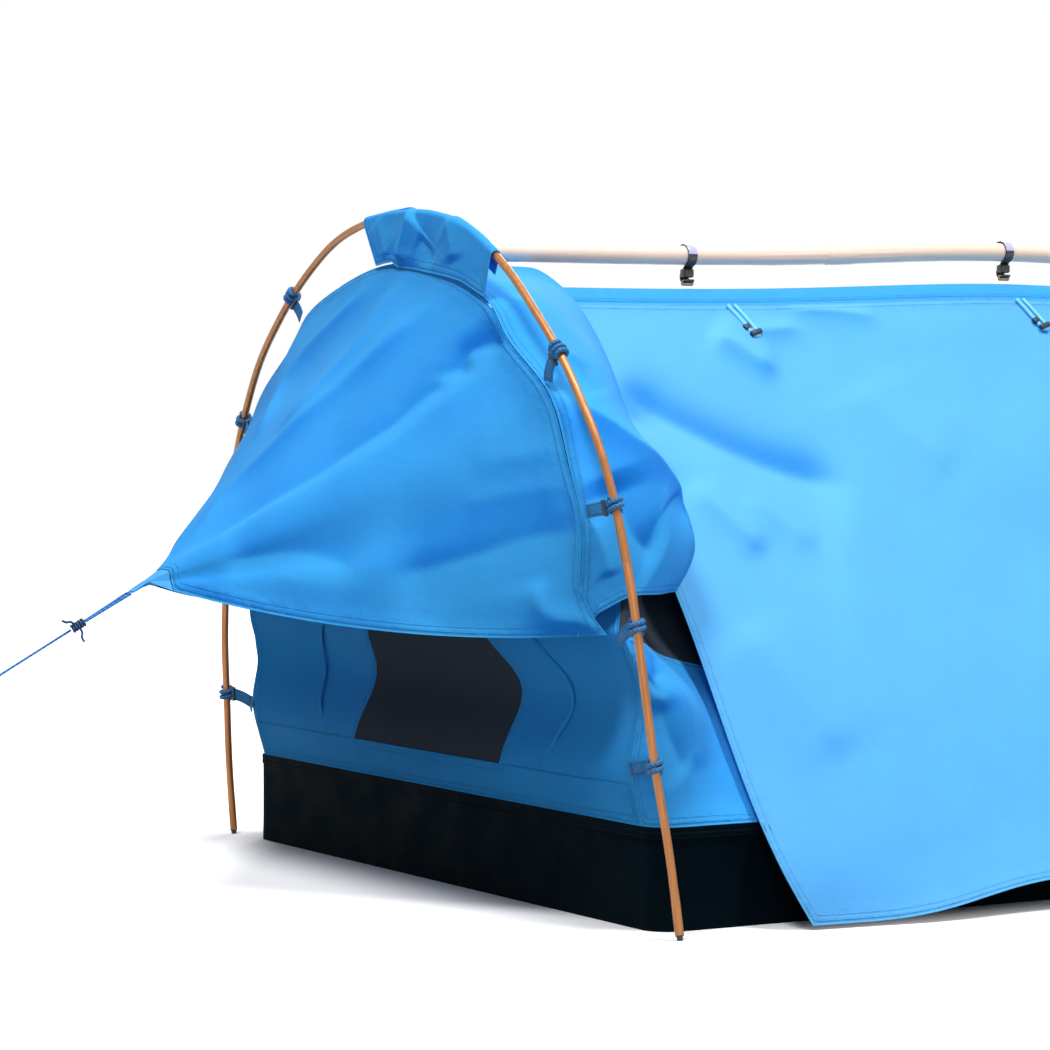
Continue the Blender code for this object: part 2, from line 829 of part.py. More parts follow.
def fly_point(side, share, level):
    """A point of a fly: share runs along its length, level from the ridge seam to the hem."""
    y = share * (hoop_y - fly_front)
    top = ridge(y) - band_depth - seam_gap / 2
    z = top + (fly_hem(y) - top) * level
    cut = fly_corner_cut * max(1 - z / fly_corner, 0) ** 2
    y = share * (hoop_y - fly_front - cut)
    slant = fly_fold_count * share + 2.2 * level
    fold = fly_fold * (0.5 + 0.5 * math.sin(math.pi * slant)) * math.sin(math.pi * min(level * 1.1, 1) / 2)
    fold *= 1 - abs(share) ** 6
    return Vector((side * (fly_half(y, z) + fold + gap), y, z))


def make_fly(side):
    def surface(share, level):
        return fly_point(side, share, level)

    levels = [0, 0.03, 0.07, 0.14, 0.24, 0.34, 0.45, 0.56, 0.67, 0.77, 0.86, 0.93, 1]
    stations = [*steps(-1, -0.7, 4), *steps(-0.7, 0.7, 12)[1:-1], *steps(0.7, 1, 4)]
    sheet(f"{side_name(side)}_fly", surface, stations, levels, canvas, blue_canvas())


def make_tie_loop(side, place, name):
    """A cord loop with both ends at the ridge seam, lying down the fly."""
    start = place - hoop_y

    def spot(along_y, drop):
        share = (start + along_y) / (hoop_y - fly_front)
        level = drop / (ridge(start) - band_depth - fly_hem(start))
        point = fly_point(side, share, level)
        slope = math.atan2(ridge(start), fly_reach)
        out = Vector((side * math.sin(slope), 0, math.cos(slope)))
        return point + out * (canvas / 2 + loop_cord_radius + loop_clear)

    drop = loop_drop
    line = [spot(0, loop_half_width / 2)]
    line += [spot(loop_slant * s, drop * s) for s in (0.35, 0.7)]
    for angle in steps(180, 360, 4):
        turn = math.radians(angle)
        line.append(
            spot(
                loop_slant + loop_half_width * (1 + math.cos(turn)),
                drop - loop_half_width * math.sin(turn) * 0.8,
            )
        )
    line += [spot(loop_slant * s + loop_half_width * 2, drop * s) for s in (0.7, 0.35)]
    line.append(spot(loop_half_width * 2, loop_half_width / 2))
    rod(name, line, loop_cord_radius, blue_webbing(), sides=1)


# Hoops


def make_hoop(end):
    name = end_name(end)
    line = hoop_points(end)
    level = Vector((0, 1, 0))
    radius = hoop_tube / 2
    reach = hoop_leg_segments + 2
    last = hoop_leg_segments
    for leg, side in ((line[:reach], "near"), (list(reversed(line))[:reach], "far")):
        leg_name = f"{name}_hoop_{side}_leg"
        pipe(leg_name, leg, radius, hoop_wall, hoop_sides, level, bronze_tube(), last=last)
        make_foot(end, side, leg)
    first, last = hoop_leg_segments, hoop_segments - hoop_leg_segments
    crown, shares = [], []
    thin = spigot_radius / radius
    for at, toward in ((first, 1), (last, -1)):
        inside, here, beyond = line[at - toward], line[at], line[at + toward]
        step = (beyond - here).normalized()
        rows = [(inside, thin), (here + step * gap * 1.2, thin), (here + step * gap * 1.6, 1)]
        rows = rows if toward > 0 else list(reversed(rows))
        if toward < 0:
            crown += line[first + 1 : last]
            shares += [1] * (last - first - 1)
        crown += [p for p, _ in rows]
        shares += [s for _, s in rows]
    rod(f"{name}_hoop_crown", crown, radius, bronze_tube(), shares=shares, sides=2)


def make_foot(end, side, leg):
    """The foot's pin and collar, with a spigot up into the leg."""
    down = (leg[0] - leg[1]).normalized()
    full = hoop_tube / 2
    top = leg[0] - down * foot_pin_length
    collar = leg[0] + down * gap
    pin = leg[0] + down * foot_collar_length
    reach = (pin.z - foot_lift) / -down.z
    bottom = pin + down * reach
    line = [top, collar - down * gap / 2, collar, pin, pin + down * gap, bottom]
    thin, point = spigot_radius / full, foot_pin_radius / full
    shares = [thin, thin, 1, 1, point, point]
    rod(f"{end_name(end)}_hoop_{side}_foot", line, full, black_plastic(), shares=shares, sides=2)


def make_tie(end, side, heights, number):
    """A tape from the canvas to the hoop, with one turn round the tube."""
    pole_height, anchor_height, stand_off = heights
    centre, upward = hoop_at(end, side, pole_height)
    on_seam = anchor_height > side_wall_corner
    anchor = seam_at(end, side, anchor_height) if on_seam else wrapped(end, side, anchor_height, 0.5)
    toward = anchor - centre
    flat = toward - upward * toward.dot(upward)
    reach = flat.length - stand_off
    slip = toward.dot(upward) * reach / flat.length
    one = flat.normalized()
    two = upward.cross(one)
    segments = 8
    half_step = math.radians(tie_turn / segments / 2)
    ring = (hoop_tube / 2 + tie_wrap_gap + webbing / 2) / math.cos(half_step)
    start = math.acos(ring / reach)
    turns = [start + math.radians(tie_turn) * step / segments for step in range(segments + 1)]
    line = [centre + one * reach + upward * slip, centre + one * reach * 0.5 + two * ring * 0.5 + upward * slip * 0.5]
    line += [centre + ring * (math.cos(t) * one + math.sin(t) * two) for t in turns]

    def surface(w, at):
        return line[at] + upward * tie_width * (w - 0.5)

    name = f"{end_name(end)}_{side_name(side)}_tie_{number}"
    sheet(name, surface, [0, 1], list(range(len(line))), webbing, blue_webbing())


# Ridge pole, its cups, hooks and rings


def pole_reach():
    """Half length of the ridge pole: its ends sit in the cups behind the sleeves."""
    crown = hoop_across(1, 0).y
    leaf = crown + hoop_tube / 2 + gap
    return leaf - canvas - gap - cup_end_wall - gap


def pole_line(low, high, count):
    return [Vector((0, y, pole_axis(y))) for y in steps(low, high, count)]


def make_ridge_pole():
    reach = pole_reach()
    joint = hoop_y - pole_joint
    level = Vector((1, 0, 0))
    places = (("front", -reach, -joint - gap), ("middle", -joint + gap, joint - gap))
    places += (("rear", joint + gap, reach),)
    for name, low, high in places:
        line = pole_line(low, high, 6)
        pipe(f"ridge_pole_{name}", line, pole_radius, pole_wall, pole_sides, level, silver_tube())
    outer = pole_radius + gap + ferrule_wall
    for name, middle in (("front", -joint), ("rear", joint)):
        half = ferrule_length / 2
        line = pole_line(middle - half, middle + half, 2)
        pipe(f"ridge_ferrule_{name}", line, outer, ferrule_wall, pole_sides, level, silver_tube())


def make_pole_cup(end):
    """A moulded cup, sewn behind the sleeve, that takes the ridge pole's end."""
    reach = pole_reach()
    outer, inner = pole_radius + cup_wall, pole_radius + gap
    mouth, floor = cup_length, gap
    profile = [(0, -floor), (inner, -floor), (inner, mouth), (outer, mouth), (outer, -floor - cup_end_wall)]
    profile.append((0, -floor - cup_end_wall))
    bm = bmesh.new()
    points = [bm.verts.new((r, 0, -z)) for r, z in reversed(profile)]
    for a, b in zip(points, points[1:]):
        bm.edges.new((a, b))
    turned = bmesh.ops.spin(
        bm, geom=[*bm.verts, *bm.edges], cent=(0, 0, 0), axis=(0, 0, 1),
        angle=2 * math.pi, steps=pole_sides, use_duplicate=False,
    )
    bmesh.ops.remove_doubles(bm, verts=bm.verts, dist=gap / 3)
    bmesh.ops.recalc_face_normals(bm, faces=bm.faces)
    made = object_from(bm, f"{end_name(end)}_pole_cup", black_plastic())
    tilt = pole_line(end * (reach - cup_length), end * reach, 1)
    away = (tilt[1] - tilt[0]).normalized()
    made.rotation_euler = away.to_track_quat("Z", "X").to_euler()
    made.location = tilt[1]


def hook_line():
    """The S of a ridge hook, in its own plane, with the pole's axis at the origin."""
    over = (pole_radius + gap + hook_thickness / 2) / math.cos(math.radians(10))
    bottom = -(pole_radius + ridge_drop) + canvas / 2 + gap + 2 * ring_wire + ring_play
    low_centre = bottom + hook_thickness / 2 + hook_lower_radius
    upper = [(over * math.cos(math.radians(a)), over * math.sin(math.radians(a))) for a in range(165, -76, -20)]
    r = hook_lower_radius
    lower = [(r * math.cos(math.radians(a)), low_centre + r * math.sin(math.radians(a))) for a in range(110, 331, 22)]
    return [*upper, *lower]


def make_hook(place, name):
    centre = Vector((0, place, pole_axis(place)))
    line = hook_line()

    def surface(w, at):
        x, z = line[at]
        return Vector((x, hook_width * (w - 0.5), z))

    made = sheet(f"ridge_hook_{name}", surface, [0, 1], list(range(len(line))), hook_thickness, black_plastic())
    made.location = centre
    made.data.shade_flat()
    low = ridge(place) + canvas / 2 + gap + ring_wire
    high = low + 2 * ring_wire + ring_play * 2 + hook_thickness
    half = hook_width / 2 + ring_play + ring_wire
    soft = ring_wire
    points = []
    for sy, sz in ((1, -1), (1, 1), (-1, 1), (-1, -1)):
        y, z = place + sy * half, high if sz > 0 else low
        one = Vector((0, y, z - sz * soft))
        two = Vector((0, y - sy * soft, z))
        points += [one, two] if sy * sz > 0 else [two, one]
    tan = paint("tan_webbing", (0.62, 0.45, 0.24), 0.6)
    rod(f"ridge_ring_{name}", points, ring_wire, tan, sides=1, cyclic=True)


# Zip sliders


def make_slider(side):
    """A zip slider, with its pull tab, on the outside of the side wall's top edge."""
    half_l, half_h = slider_length / 2, slider_height / 2
    tab = slider_tab_width / 2
    low = -half_h - slider_tab_length
    outline = [(-half_l, -half_h), (-tab, -half_h), (-tab, low), (tab, low), (tab, -half_h)]
    outline += [(half_l, -half_h), (half_l, half_h), (-half_l, half_h)]
    curve = bpy.data.curves.new("slider", "CURVE")
    curve.dimensions = "2D"
    curve.fill_mode = "BOTH"
    curve.extrude = slider_thickness / 2
    spline = curve.splines.new("POLY")
    spline.points.add(len(outline) - 1)
    for at, (x, y) in enumerate(outline):
        spline.points[at].co = (x, y, 0, 1)
    spline.use_cyclic_u = True
    made = keep(bpy.data.objects.new(f"{side_name(side)}_zip_slider", curve), black_plastic())
    y = slider_start - hoop_y
    z = side_wall_middle
    here, above = inner_half(y, z), inner_half(y, z + slider_height)
    up = Vector((side * (above - here), 0, slider_height)).normalized()
    ahead = Vector((0, side, 0))
    out = ahead.cross(up)
    turn = Matrix((ahead, up, out)).transposed().to_4x4()
    stand = canvas / 2 + gap * 2 + slider_thickness / 2
    turn.translation = Vector((side * here, y, z)) + out * stand
    made.matrix_world = turn


# Guy rope


def guy_point(reach):
    """A point on the guy's straight line, at a distance forward of the awning's peak."""
    return awning_peak + Vector((0, -reach, -reach * rope_slope))


def make_guy():
    ahead = (guy_point(1) - guy_point(0)).normalized()
    across = Vector((1, 0, 0))
    knot = guy_point(knot_reach)
    bm = bmesh.new()
    bmesh.ops.create_icosphere(bm, subdivisions=2, radius=1)
    bmesh.ops.scale(bm, vec=(knot_radius, knot_radius, knot_half_length), verts=bm.verts)
    made = object_from(bm, "guy_knot", blue_webbing())
    made.rotation_euler = ahead.to_track_quat("Z", "X").to_euler()
    made.location = knot
    strap = strap_end()
    top = strap + ahead * (rope_radius + gap * 2)
    foot = knot - ahead * (knot_half_length - gap)
    turn_centre = top + ahead * rope_loop_radius
    line = [foot + across * rope_loop_waist, foot - ahead * rope_loop_radius + across * rope_loop_waist]
    for angle in steps(0, 180, 8):
        turn = math.radians(angle)
        line.append(turn_centre + rope_loop_radius * (across * math.cos(turn) - ahead * math.sin(turn)))
    line += [foot - ahead * rope_loop_radius - across * rope_loop_waist, foot - across * rope_loop_waist]
    blue_rope = paint("blue_rope", (0.03, 0.24, 0.62), 0.7)
    rod("guy_rope_loop", line, rope_radius, blue_rope, sides=2)
    start = knot + ahead * (knot_half_length + gap)
    low = rope_radius * 3
    whole = awning_peak_height / rope_slope
    peg_y = guy_point(whole - low / rope_slope).y
    end = guy_point(whole - low / rope_slope) - ahead * (peg_radius + gap + rope_radius)
    rod("guy_rope", [start.lerp(end, step) for step in steps(0, 1, 72)], rope_radius, blue_rope, sides=2)
    steel = paint("zinc_steel", (0.55, 0.56, 0.58), 0.35, 0.9)
    hook = [Vector((0, peg_y, 0)), Vector((0, peg_y, peg_height - peg_hook))]
    for angle in steps(0, 180, 6)[1:]:
        turn = math.radians(angle)
        hook.append(
            Vector((0, peg_y + peg_hook * (1 - math.cos(turn)), peg_height - peg_hook + peg_hook * math.sin(turn)))
        )
    rod("guy_peg", hook, peg_radius, steel, sides=2)


def clear_scene():
    for found in list(bpy.data.objects):
        bpy.data.objects.remove(found)


def build():
    make_tub()
    make_mattress()
    make_ridge_band()
    make_awning()
    make_awning_tip()
    make_end_flap()
    make_ridge_pole()
    make_guy()
    for end in (-1, 1):
        make_end_wall(end)
        make_hood(end)
        make_sleeve(end)
        make_hoop(end)
        make_pole_cup(end)
    for side in (1, -1):
        make_side(side)
        make_fly(side)
        make_slider(side)
    for place, name in zip((-hook_spacing, 0, hook_spacing), ("front", "middle", "rear")):
        make_hook(place, name)
    for number, heights in enumerate(near_tie_heights, 1):
        make_tie(-1, 1, heights, number)
    for number, heights in enumerate(far_tie_heights, 1):
        make_tie(-1, -1, heights, number)
    for place, name in zip(loop_places, ("front", "middle")):
        make_tie_loop(1, place, f"near_tie_loop_{name}")


clear_scene()
swag = bpy.data.collections.new("swag")
bpy.context.scene.collection.children.link(swag)
build()
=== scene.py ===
# %% [markdown]
# # A swag bedroll
# A swag is a low canvas tent with its mattress inside: a tarpaulin tub, canvas walls, two
# hoops, a ridge pole and two big fly sheets. The solid model that is loaded first fixes every
# place and every moving body. This lesson gives it its cloth, tape, rope and finishes.

import math
from functools import partial, reduce

import bmesh
import bpy
import numpy as np
from mathutils import Matrix, Vector, noise
from mathutils.kdtree import KDTree


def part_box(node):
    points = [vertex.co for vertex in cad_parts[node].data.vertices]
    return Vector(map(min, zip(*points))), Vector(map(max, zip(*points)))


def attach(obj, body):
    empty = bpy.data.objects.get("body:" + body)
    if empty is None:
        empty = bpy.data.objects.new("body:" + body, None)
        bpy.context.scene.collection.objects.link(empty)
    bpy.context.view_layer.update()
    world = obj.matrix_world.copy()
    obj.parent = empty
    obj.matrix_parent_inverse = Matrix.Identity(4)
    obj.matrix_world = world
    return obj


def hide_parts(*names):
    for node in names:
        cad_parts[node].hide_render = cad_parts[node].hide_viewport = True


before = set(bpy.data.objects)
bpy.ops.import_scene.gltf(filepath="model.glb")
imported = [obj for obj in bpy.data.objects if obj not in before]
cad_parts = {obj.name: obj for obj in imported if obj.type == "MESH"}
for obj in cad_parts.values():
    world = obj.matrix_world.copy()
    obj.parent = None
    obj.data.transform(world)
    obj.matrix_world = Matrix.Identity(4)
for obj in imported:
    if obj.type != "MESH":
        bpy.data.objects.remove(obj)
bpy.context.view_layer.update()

# %% [markdown]
# ## The camera
# The picture was taken from the front near corner, low down, with a long lens. The view is
# level, so upright edges stay upright, and the lens is shifted to bring the swag into the
# frame instead of tilting the camera.

# %% Place the camera
picture_side = 1050
focal_pixels = 3531
horizon_row = 414
camera_place = (4.387, -3.393, 0.66)
look_turn = math.radians(30)
look = Vector((-math.cos(look_turn), math.sin(look_turn), 0))
bpy.ops.object.camera_add(location=camera_place, rotation=look.to_track_quat("-Z", "Y").to_euler())
camera = bpy.context.object
camera.data.sensor_width = 36
camera.data.lens = focal_pixels / picture_side * camera.data.sensor_width
camera.data.shift_y = horizon_row / picture_side - 0.5
bpy.context.scene.camera = camera
print("lens", round(camera.data.lens, 1), "mm, shift", round(camera.data.shift_y, 3))

# %% [markdown]
# ## Helpers for finishes
# A finish is a small tree of shader nodes. One helper adds a node to the tree in hand, sets its
# plain values and links the rest, so that a finish reads from top to bottom as a recipe.

# %% Define the shader helpers
full_turn = 2 * math.pi


def new_finish(name):
    """An empty material and its principled shader; its tree is the one that the helpers build in."""
    global tree
    made = bpy.data.materials.new(name)
    made.use_nodes = True
    tree = made.node_tree
    return made, tree.nodes["Principled BSDF"]


def give(shader, **inputs):
    """Sets a shader's inputs: a socket is linked, anything else is a plain value."""
    for key, value in inputs.items():
        place = shader.inputs[int(key[1:])] if key[1:].isdigit() else shader.inputs[key.replace("_", " ")]
        if isinstance(value, bpy.types.NodeSocket):
            tree.links.new(value, place)
        else:
            place.default_value = value


def add(kind, settings=None, **inputs):
    """Adds a node: settings are its own options, inputs its sockets by name or number."""
    made = tree.nodes.new("ShaderNode" + kind)
    for key, value in (settings or {}).items():
        setattr(made, key, value)
    give(made, **inputs)
    return made


def maths(what, one, two=0.0, three=0.0):
    """One sum, as a socket."""
    return add("Math", {"operation": what}, i0=one, i1=two, i2=three).outputs[0]


times, plus, minus, most, power = (
    partial(maths, what) for what in ("MULTIPLY", "ADD", "SUBTRACT", "MAXIMUM", "POWER")
)


def apart(one, two):
    """How far apart two values are."""
    return maths("ABSOLUTE", minus(one, two))


def wave(value, pitch):
    """A sine wave along a value in metres."""
    return maths("SINE", times(value, full_turn / pitch))


def ramp(value, low, high, start=0.0, end=1.0):
    """Turns a range of values smoothly into another range."""
    made = add("MapRange", {"interpolation_type": "SMOOTHSTEP"}, Value=value, i1=low, i2=high, i3=start, i4=end)
    return made.outputs[0]


def blend_colour(share, one, two, how="MIX"):
    """Two colours mixed by a share, as a socket."""
    one, two = (colour if isinstance(colour, bpy.types.NodeSocket) else (*colour, 1) for colour in (one, two))
    return add("Mix", {"data_type": "RGBA", "blend_type": how}, i0=share, i6=one, i7=two).outputs[2]


def speckle(where, scale, detail=2.0, rough=0.5):
    """Soft noise, as a socket."""
    return add("TexNoise", Vector=where, Scale=scale, Detail=detail, Roughness=rough).outputs[0]


def streaks(where, scale, detail=2.0):
    """Noise drawn out along an axis, as a socket."""
    return speckle(add("Mapping", Vector=where, Scale=scale).outputs[0], 1, detail)


def bump(height, distance, strength=1.0, onto=None):
    """Turns a height into a slope, in metres."""
    onto = {"Normal": onto} if onto else {}
    return add("Bump", Height=height, Distance=distance, Strength=strength, **onto).outputs[0]


def own_map():
    """A piece's own flat map, in metres along cloth or rope."""
    return add("UVMap").outputs[0]


def object_place():
    return add("TexCoord").outputs["Object"]


def split(vector):
    return add("SeparateXYZ", Vector=vector).outputs[:]


def stored(name):
    """A value stored on the mesh, as a socket."""
    return add("Attribute", {"attribute_name": name}).outputs["Fac"]


def shade(colour, share):
    """A colour made darker or lighter."""
    return tuple(min(channel * share, 1.0) for channel in colour)


# %% [markdown]
# ## Canvas and tape
# Swag canvas is a tight plain weave of thick threads. It shows threads close up, a faint
# mottle from the dye, small puckers along each hem, and two rows of stitches. The weave
# follows the cloth's own map, which is in metres, and the stitches follow two values stored
# on the cloth: how far a point is from the edge, and how far along that edge it is.

# %% Make the woven finishes
def stitched_rows(edge, rows, stitch, thread=0.0009):
    """Stitch rows at some distances from the edge: their thread, and the groove they pull."""
    dash = ramp(wave(stored("run"), stitch), -0.5, -0.2)
    offs = [apart(edge, row) for row in rows]
    lines = [times(ramp(off, thread * 1.2, thread * 0.6), dash) for off in offs]
    return reduce(most, lines), reduce(most, [ramp(off, thread * 3, 0.0) for off in offs])


def woven_finish(name, colour, shine, rows=(0.003, 0.011), hem=0.013, seam_heights=()):
    """A woven cloth with hems: its colour, shine, stitch rows, hem width and level seams."""
    made, shader = new_finish(name)
    where, place, edge = own_map(), object_place(), stored("edge")
    across, along, _ = split(where)
    two_threads, rough = 0.0026, 0.72
    weave = times(wave(across, two_threads), wave(along, two_threads))
    slubs = plus(streaks(where, (18, 700, 1)), streaks(where, (700, 18, 1)))
    mottle = speckle(place, 9, 4, 0.6)
    lines, grooves = stitched_rows(edge, rows, 0.0042)
    folded = ramp(edge, hem + 0.0006, hem - 0.0006)
    height = split(place)[2]
    for level in seam_heights:
        grooves = most(grooves, ramp(apart(height, level), 0.0026, 0.0))
        folded = most(folded, ramp(height, level + 0.0004, level - 0.0004))
    # Painted light and shade on the folds: deep is the shaded tone and pale the lit one, mixed by the stored
    # fade value, which is how far the folds tipped the cloth down or up.
    red, green, blue = colour
    deep, pale = (red * 0.22, green * 0.6, blue * 0.9), (red * 1.25, green * 1.05, blue)
    painted_fold_shade = blend_colour(ramp(stored("fade"), -0.3, 0.12), deep, pale)
    worked = blend_colour(ramp(mottle, 0.3, 0.7), (0.94, 0.94, 0.94), (1, 1, 1))
    body = blend_colour(1.0, painted_fold_shade, worked, "MULTIPLY")
    # A painted highlight along the hem's folded edge, with some wear: the last few millimetres are drawn
    # lighter.
    edge_wear_and_highlight = ramp(edge, 0.0035, 0.0005)
    # The grooves entry is painted shade: the stitch grooves and the level seams are drawn darker.
    marks = ((ramp(slubs, 1.25, 0.75), 0.12, 0.75), (grooves, 0.24, 0.45), (lines, 0.25, 1.2), (edge_wear_and_highlight, 0.25, 1.4))
    for mark, share, tone in marks:
        body = blend_colour(times(mark, share), body, shade(colour, tone))
    puckers = times(speckle(place, 52, 2), ramp(edge, 0.03, 0.004))
    slope = bump(puckers, 0.0033)
    slope = bump(speckle(place, 26, 3, 0.55), 0.0011, 1, slope)
    for relief, distance in ((folded, 0.0009), (grooves, -0.0011), (lines, 0.0004)):
        slope = bump(relief, distance, 1, slope)
    slope = bump(plus(weave, times(slubs, 1.5)), 0.00012, 0.8, slope)
    give(
        shader, Base_Color=body, Normal=slope, Roughness=ramp(mottle, 0.3, 0.7, rough - 0.06, rough + 0.06),
        Specular_IOR_Level=shine, Sheen_Weight=shine * 0.3, Sheen_Roughness=0.5,
    )
    return made


# One canvas in three tones, as painted light and shade: the fly's blue is paler, as lit, the body's plain, and
# the walls' deeper, as in shade.
lit_fly_blue = (0.095, 0.46, 0.95)
body_blue = (0.035, 0.37, 0.9)
shaded_wall_blue = (0.022, 0.33, 0.82)
fly_canvas = woven_finish("fly_canvas", lit_fly_blue, 0.2)
band_canvas = woven_finish("band_canvas", body_blue, 0.2, rows=(0.0035, 0.0085), hem=0.0105)
body_canvas = woven_finish("body_canvas", body_blue, 0.1)
wall_canvas = woven_finish("wall_canvas", shaded_wall_blue, 0.08, seam_heights=(0.185,))
print("woven finishes:", fly_canvas.name, band_canvas.name, body_canvas.name, wall_canvas.name)

# %% Make the tape finish
def tape_finish(name, colour, rib=0.0014):
    """Woven tape: ribs across it, a row of stitches along each side and one across each end."""
    made, shader = new_finish(name)
    along, share, _ = split(own_map())
    place = object_place()
    outline_points, face_points, middle_point = 14, 7, 5
    off = apart(maths("MODULO", times(share, outline_points), face_points), middle_point)
    side_row = ramp(apart(off, 1.45), 0.16, 0.04)
    end_row = ramp(apart(stored("tail"), 0.004), 0.001, 0.0003)
    stitches = most(side_row, times(end_row, ramp(off, 1.6, 1.5)))
    body = blend_colour(speckle(place, 160, 3), shade(colour, 0.8), shade(colour, 1.25))
    body = blend_colour(times(stitches, 0.75), body, shade(colour, 0.3))
    give(
        shader, Base_Color=body, Normal=bump(stitches, -0.0006, 1, bump(wave(along, rib), 0.00018, 0.8)),
        Roughness=ramp(speckle(place, 60, 3), 0.3, 0.7, 0.5, 0.65), Specular_IOR_Level=0.3,
    )
    return made


tape_weave = tape_finish("tape_weave", (0.016, 0.17, 0.42))
loop_weave = tape_finish("loop_weave", (0.05, 0.36, 0.85))
bright_weave = tape_finish("bright_weave", (0.2, 0.62, 1.0))
print("tapes:", tape_weave.name, loop_weave.name, bright_weave.name)

# %% [markdown]
# ## Tarpaulin, insect mesh and ticking
# The tub is heavy coated cloth: nearly black, with a dull shine, a faint grid of the threads
# under the coating, and scuffs low down. The windows are fine black mesh, which reads as a
# dark veil. The mattress has a grey cover.

# %% Make the coated cloth, mesh and ticking
def tarpaulin_finish():
    made, shader = new_finish("black_tarpaulin")
    place = object_place()
    across, along, _ = split(own_map())
    grid = plus(wave(across, 0.0022), wave(along, 0.0022))
    lines, grooves = stitched_rows(stored("edge"), (0.006, 0.013), 0.005)
    dust = times(ramp(split(place)[2], 0.07, 0.0), speckle(place, 40, 5, 0.7))
    body = blend_colour(speckle(place, 7, 3), (0.0006, 0.0042, 0.0072), (0.0012, 0.006, 0.01))
    body = blend_colour(times(dust, 0.1), body, (0.016, 0.018, 0.02))
    body = blend_colour(times(lines, 0.5), body, (0.012, 0.02, 0.03))
    slope = bump(grooves, -0.001, 1, bump(speckle(place, 6, 2), 0.006))
    give(
        shader, Base_Color=body, Normal=bump(grid, 0.00015, 0.5, slope),
        Roughness=ramp(speckle(place, 14, 4, 0.6), 0.3, 0.7, 0.55, 0.7), Specular_IOR_Level=0.012,
    )
    return made


def mesh_finish():
    made, shader = new_finish("insect_mesh")
    across, along, _ = split(own_map())
    # The holes are painted darker than the threads, as the shaded inside seen through the mesh.
    hole = times(*(ramp(maths("ABSOLUTE", wave(way, 0.003)), 0.3, 0.6) for way in (across, along)))
    veil = blend_colour(speckle(object_place(), 5, 2), (0.047, 0.064, 0.088), (0.064, 0.084, 0.114))
    give(
        shader, Base_Color=blend_colour(hole, veil, (0.02, 0.028, 0.042)), Normal=bump(hole, -0.0003, 0.6),
        Roughness=0.8, Specular_IOR_Level=0.04,
    )
    return made


def ticking_finish():
    made, shader = new_finish("grey_ticking")
    place = object_place()
    across, along, _ = split(place)
    weave = times(wave(across, 0.0024), wave(along, 0.0024))
    body = blend_colour(speckle(place, 12, 4), (0.085, 0.095, 0.11), (0.12, 0.13, 0.15))
    give(shader, Base_Color=body, Normal=bump(weave, 0.0003, 0.7), Roughness=0.85)
    return made


tarpaulin = tarpaulin_finish()
insect_mesh = mesh_finish()
ticking = ticking_finish()
print("plain finishes:", tarpaulin.name, insect_mesh.name, ticking.name)

# %% [markdown]
# ## Metal, plastic and rope
# The hoops are bronze coloured tube, drawn lengthwise, with small scuffs in their roughness. The ridge pole
# is pale coated tube. The hooks and cups are moulded plastic. The rope is laid from strands
# that wind round it, so its pattern winds with its own map.

# %% Make the hard finishes and the rope
def drawn_tube_finish(name, colour, deep, rough, metallic, streak_scale):
    """A drawn tube: long fine streaks, a mottle, and small scuffs in its roughness."""
    made, shader = new_finish(name)
    place = object_place()
    mottle = speckle(place, 30, 4, 0.65)
    body = blend_colour(ramp(streaks(place, streak_scale, 3), 0.3, 0.7), deep, colour)
    body = blend_colour(times(ramp(mottle, 0.6, 0.8), 0.35), body, shade(deep, 0.6))
    give(
        shader, Base_Color=body, Normal=bump(speckle(place, 260, 3), 0.00008), Metallic=metallic,
        Roughness=ramp(mottle, 0.3, 0.75, rough, rough + 0.18),
    )
    return made


def moulded_finish(name, colour, rough, coat):
    """Moulded plastic with a fine grain and a little shine on its skin."""
    made, shader = new_finish(name)
    place = object_place()
    give(
        shader, Base_Color=blend_colour(speckle(place, 60, 3), colour, shade(colour, 1.5)),
        Roughness=ramp(speckle(place, 110, 4, 0.7), 0.3, 0.7, rough, rough + 0.15),
        Normal=bump(speckle(place, 900, 2), 0.00005, 0.5), Coat_Weight=coat, Coat_Roughness=0.15,
    )
    return made


def rope_finish(name, colour, strand):
    """Laid rope, whose strands wind round it as they go along."""
    made, shader = new_finish(name)
    where = own_map()
    along, around, _ = split(where)
    turn = plus(times(along, full_turn / strand), times(around, full_turn * 2))
    lay = maths("ABSOLUTE", maths("SINE", times(turn, 0.5)))
    fuzz = streaks(where, (900, 14, 1), 3)
    # The grooves between the strands are painted darker, as shade.
    body = blend_colour(ramp(lay, 0.1, 0.6), shade(colour, 0.35), colour)
    body = blend_colour(times(ramp(fuzz, 0.45, 0.7), 0.5), body, shade(colour, 1.6))
    give(shader, Base_Color=body, Normal=bump(fuzz, 0.0002, 0.6, bump(lay, 0.0006)), Roughness=0.6)
    return made


bronze = drawn_tube_finish("bronze_tube", (0.47, 0.19, 0.06), (0.38, 0.145, 0.042), 0.3, 0.45, (160, 160, 6))
pale_tube = drawn_tube_finish("pale_tube", (0.96, 0.74, 0.6), (0.9, 0.69, 0.55), 0.42, 0.04, (120, 5, 120))
black_plastic = moulded_finish("black_plastic", (0.006, 0.0055, 0.006), 0.38, 0.25)
hook_plastic = moulded_finish("hook_plastic", (0.009, 0.0065, 0.0075), 0.36, 0.25)
tan_tape = tape_finish("tan_tape", (0.56, 0.36, 0.16), 0.0012)
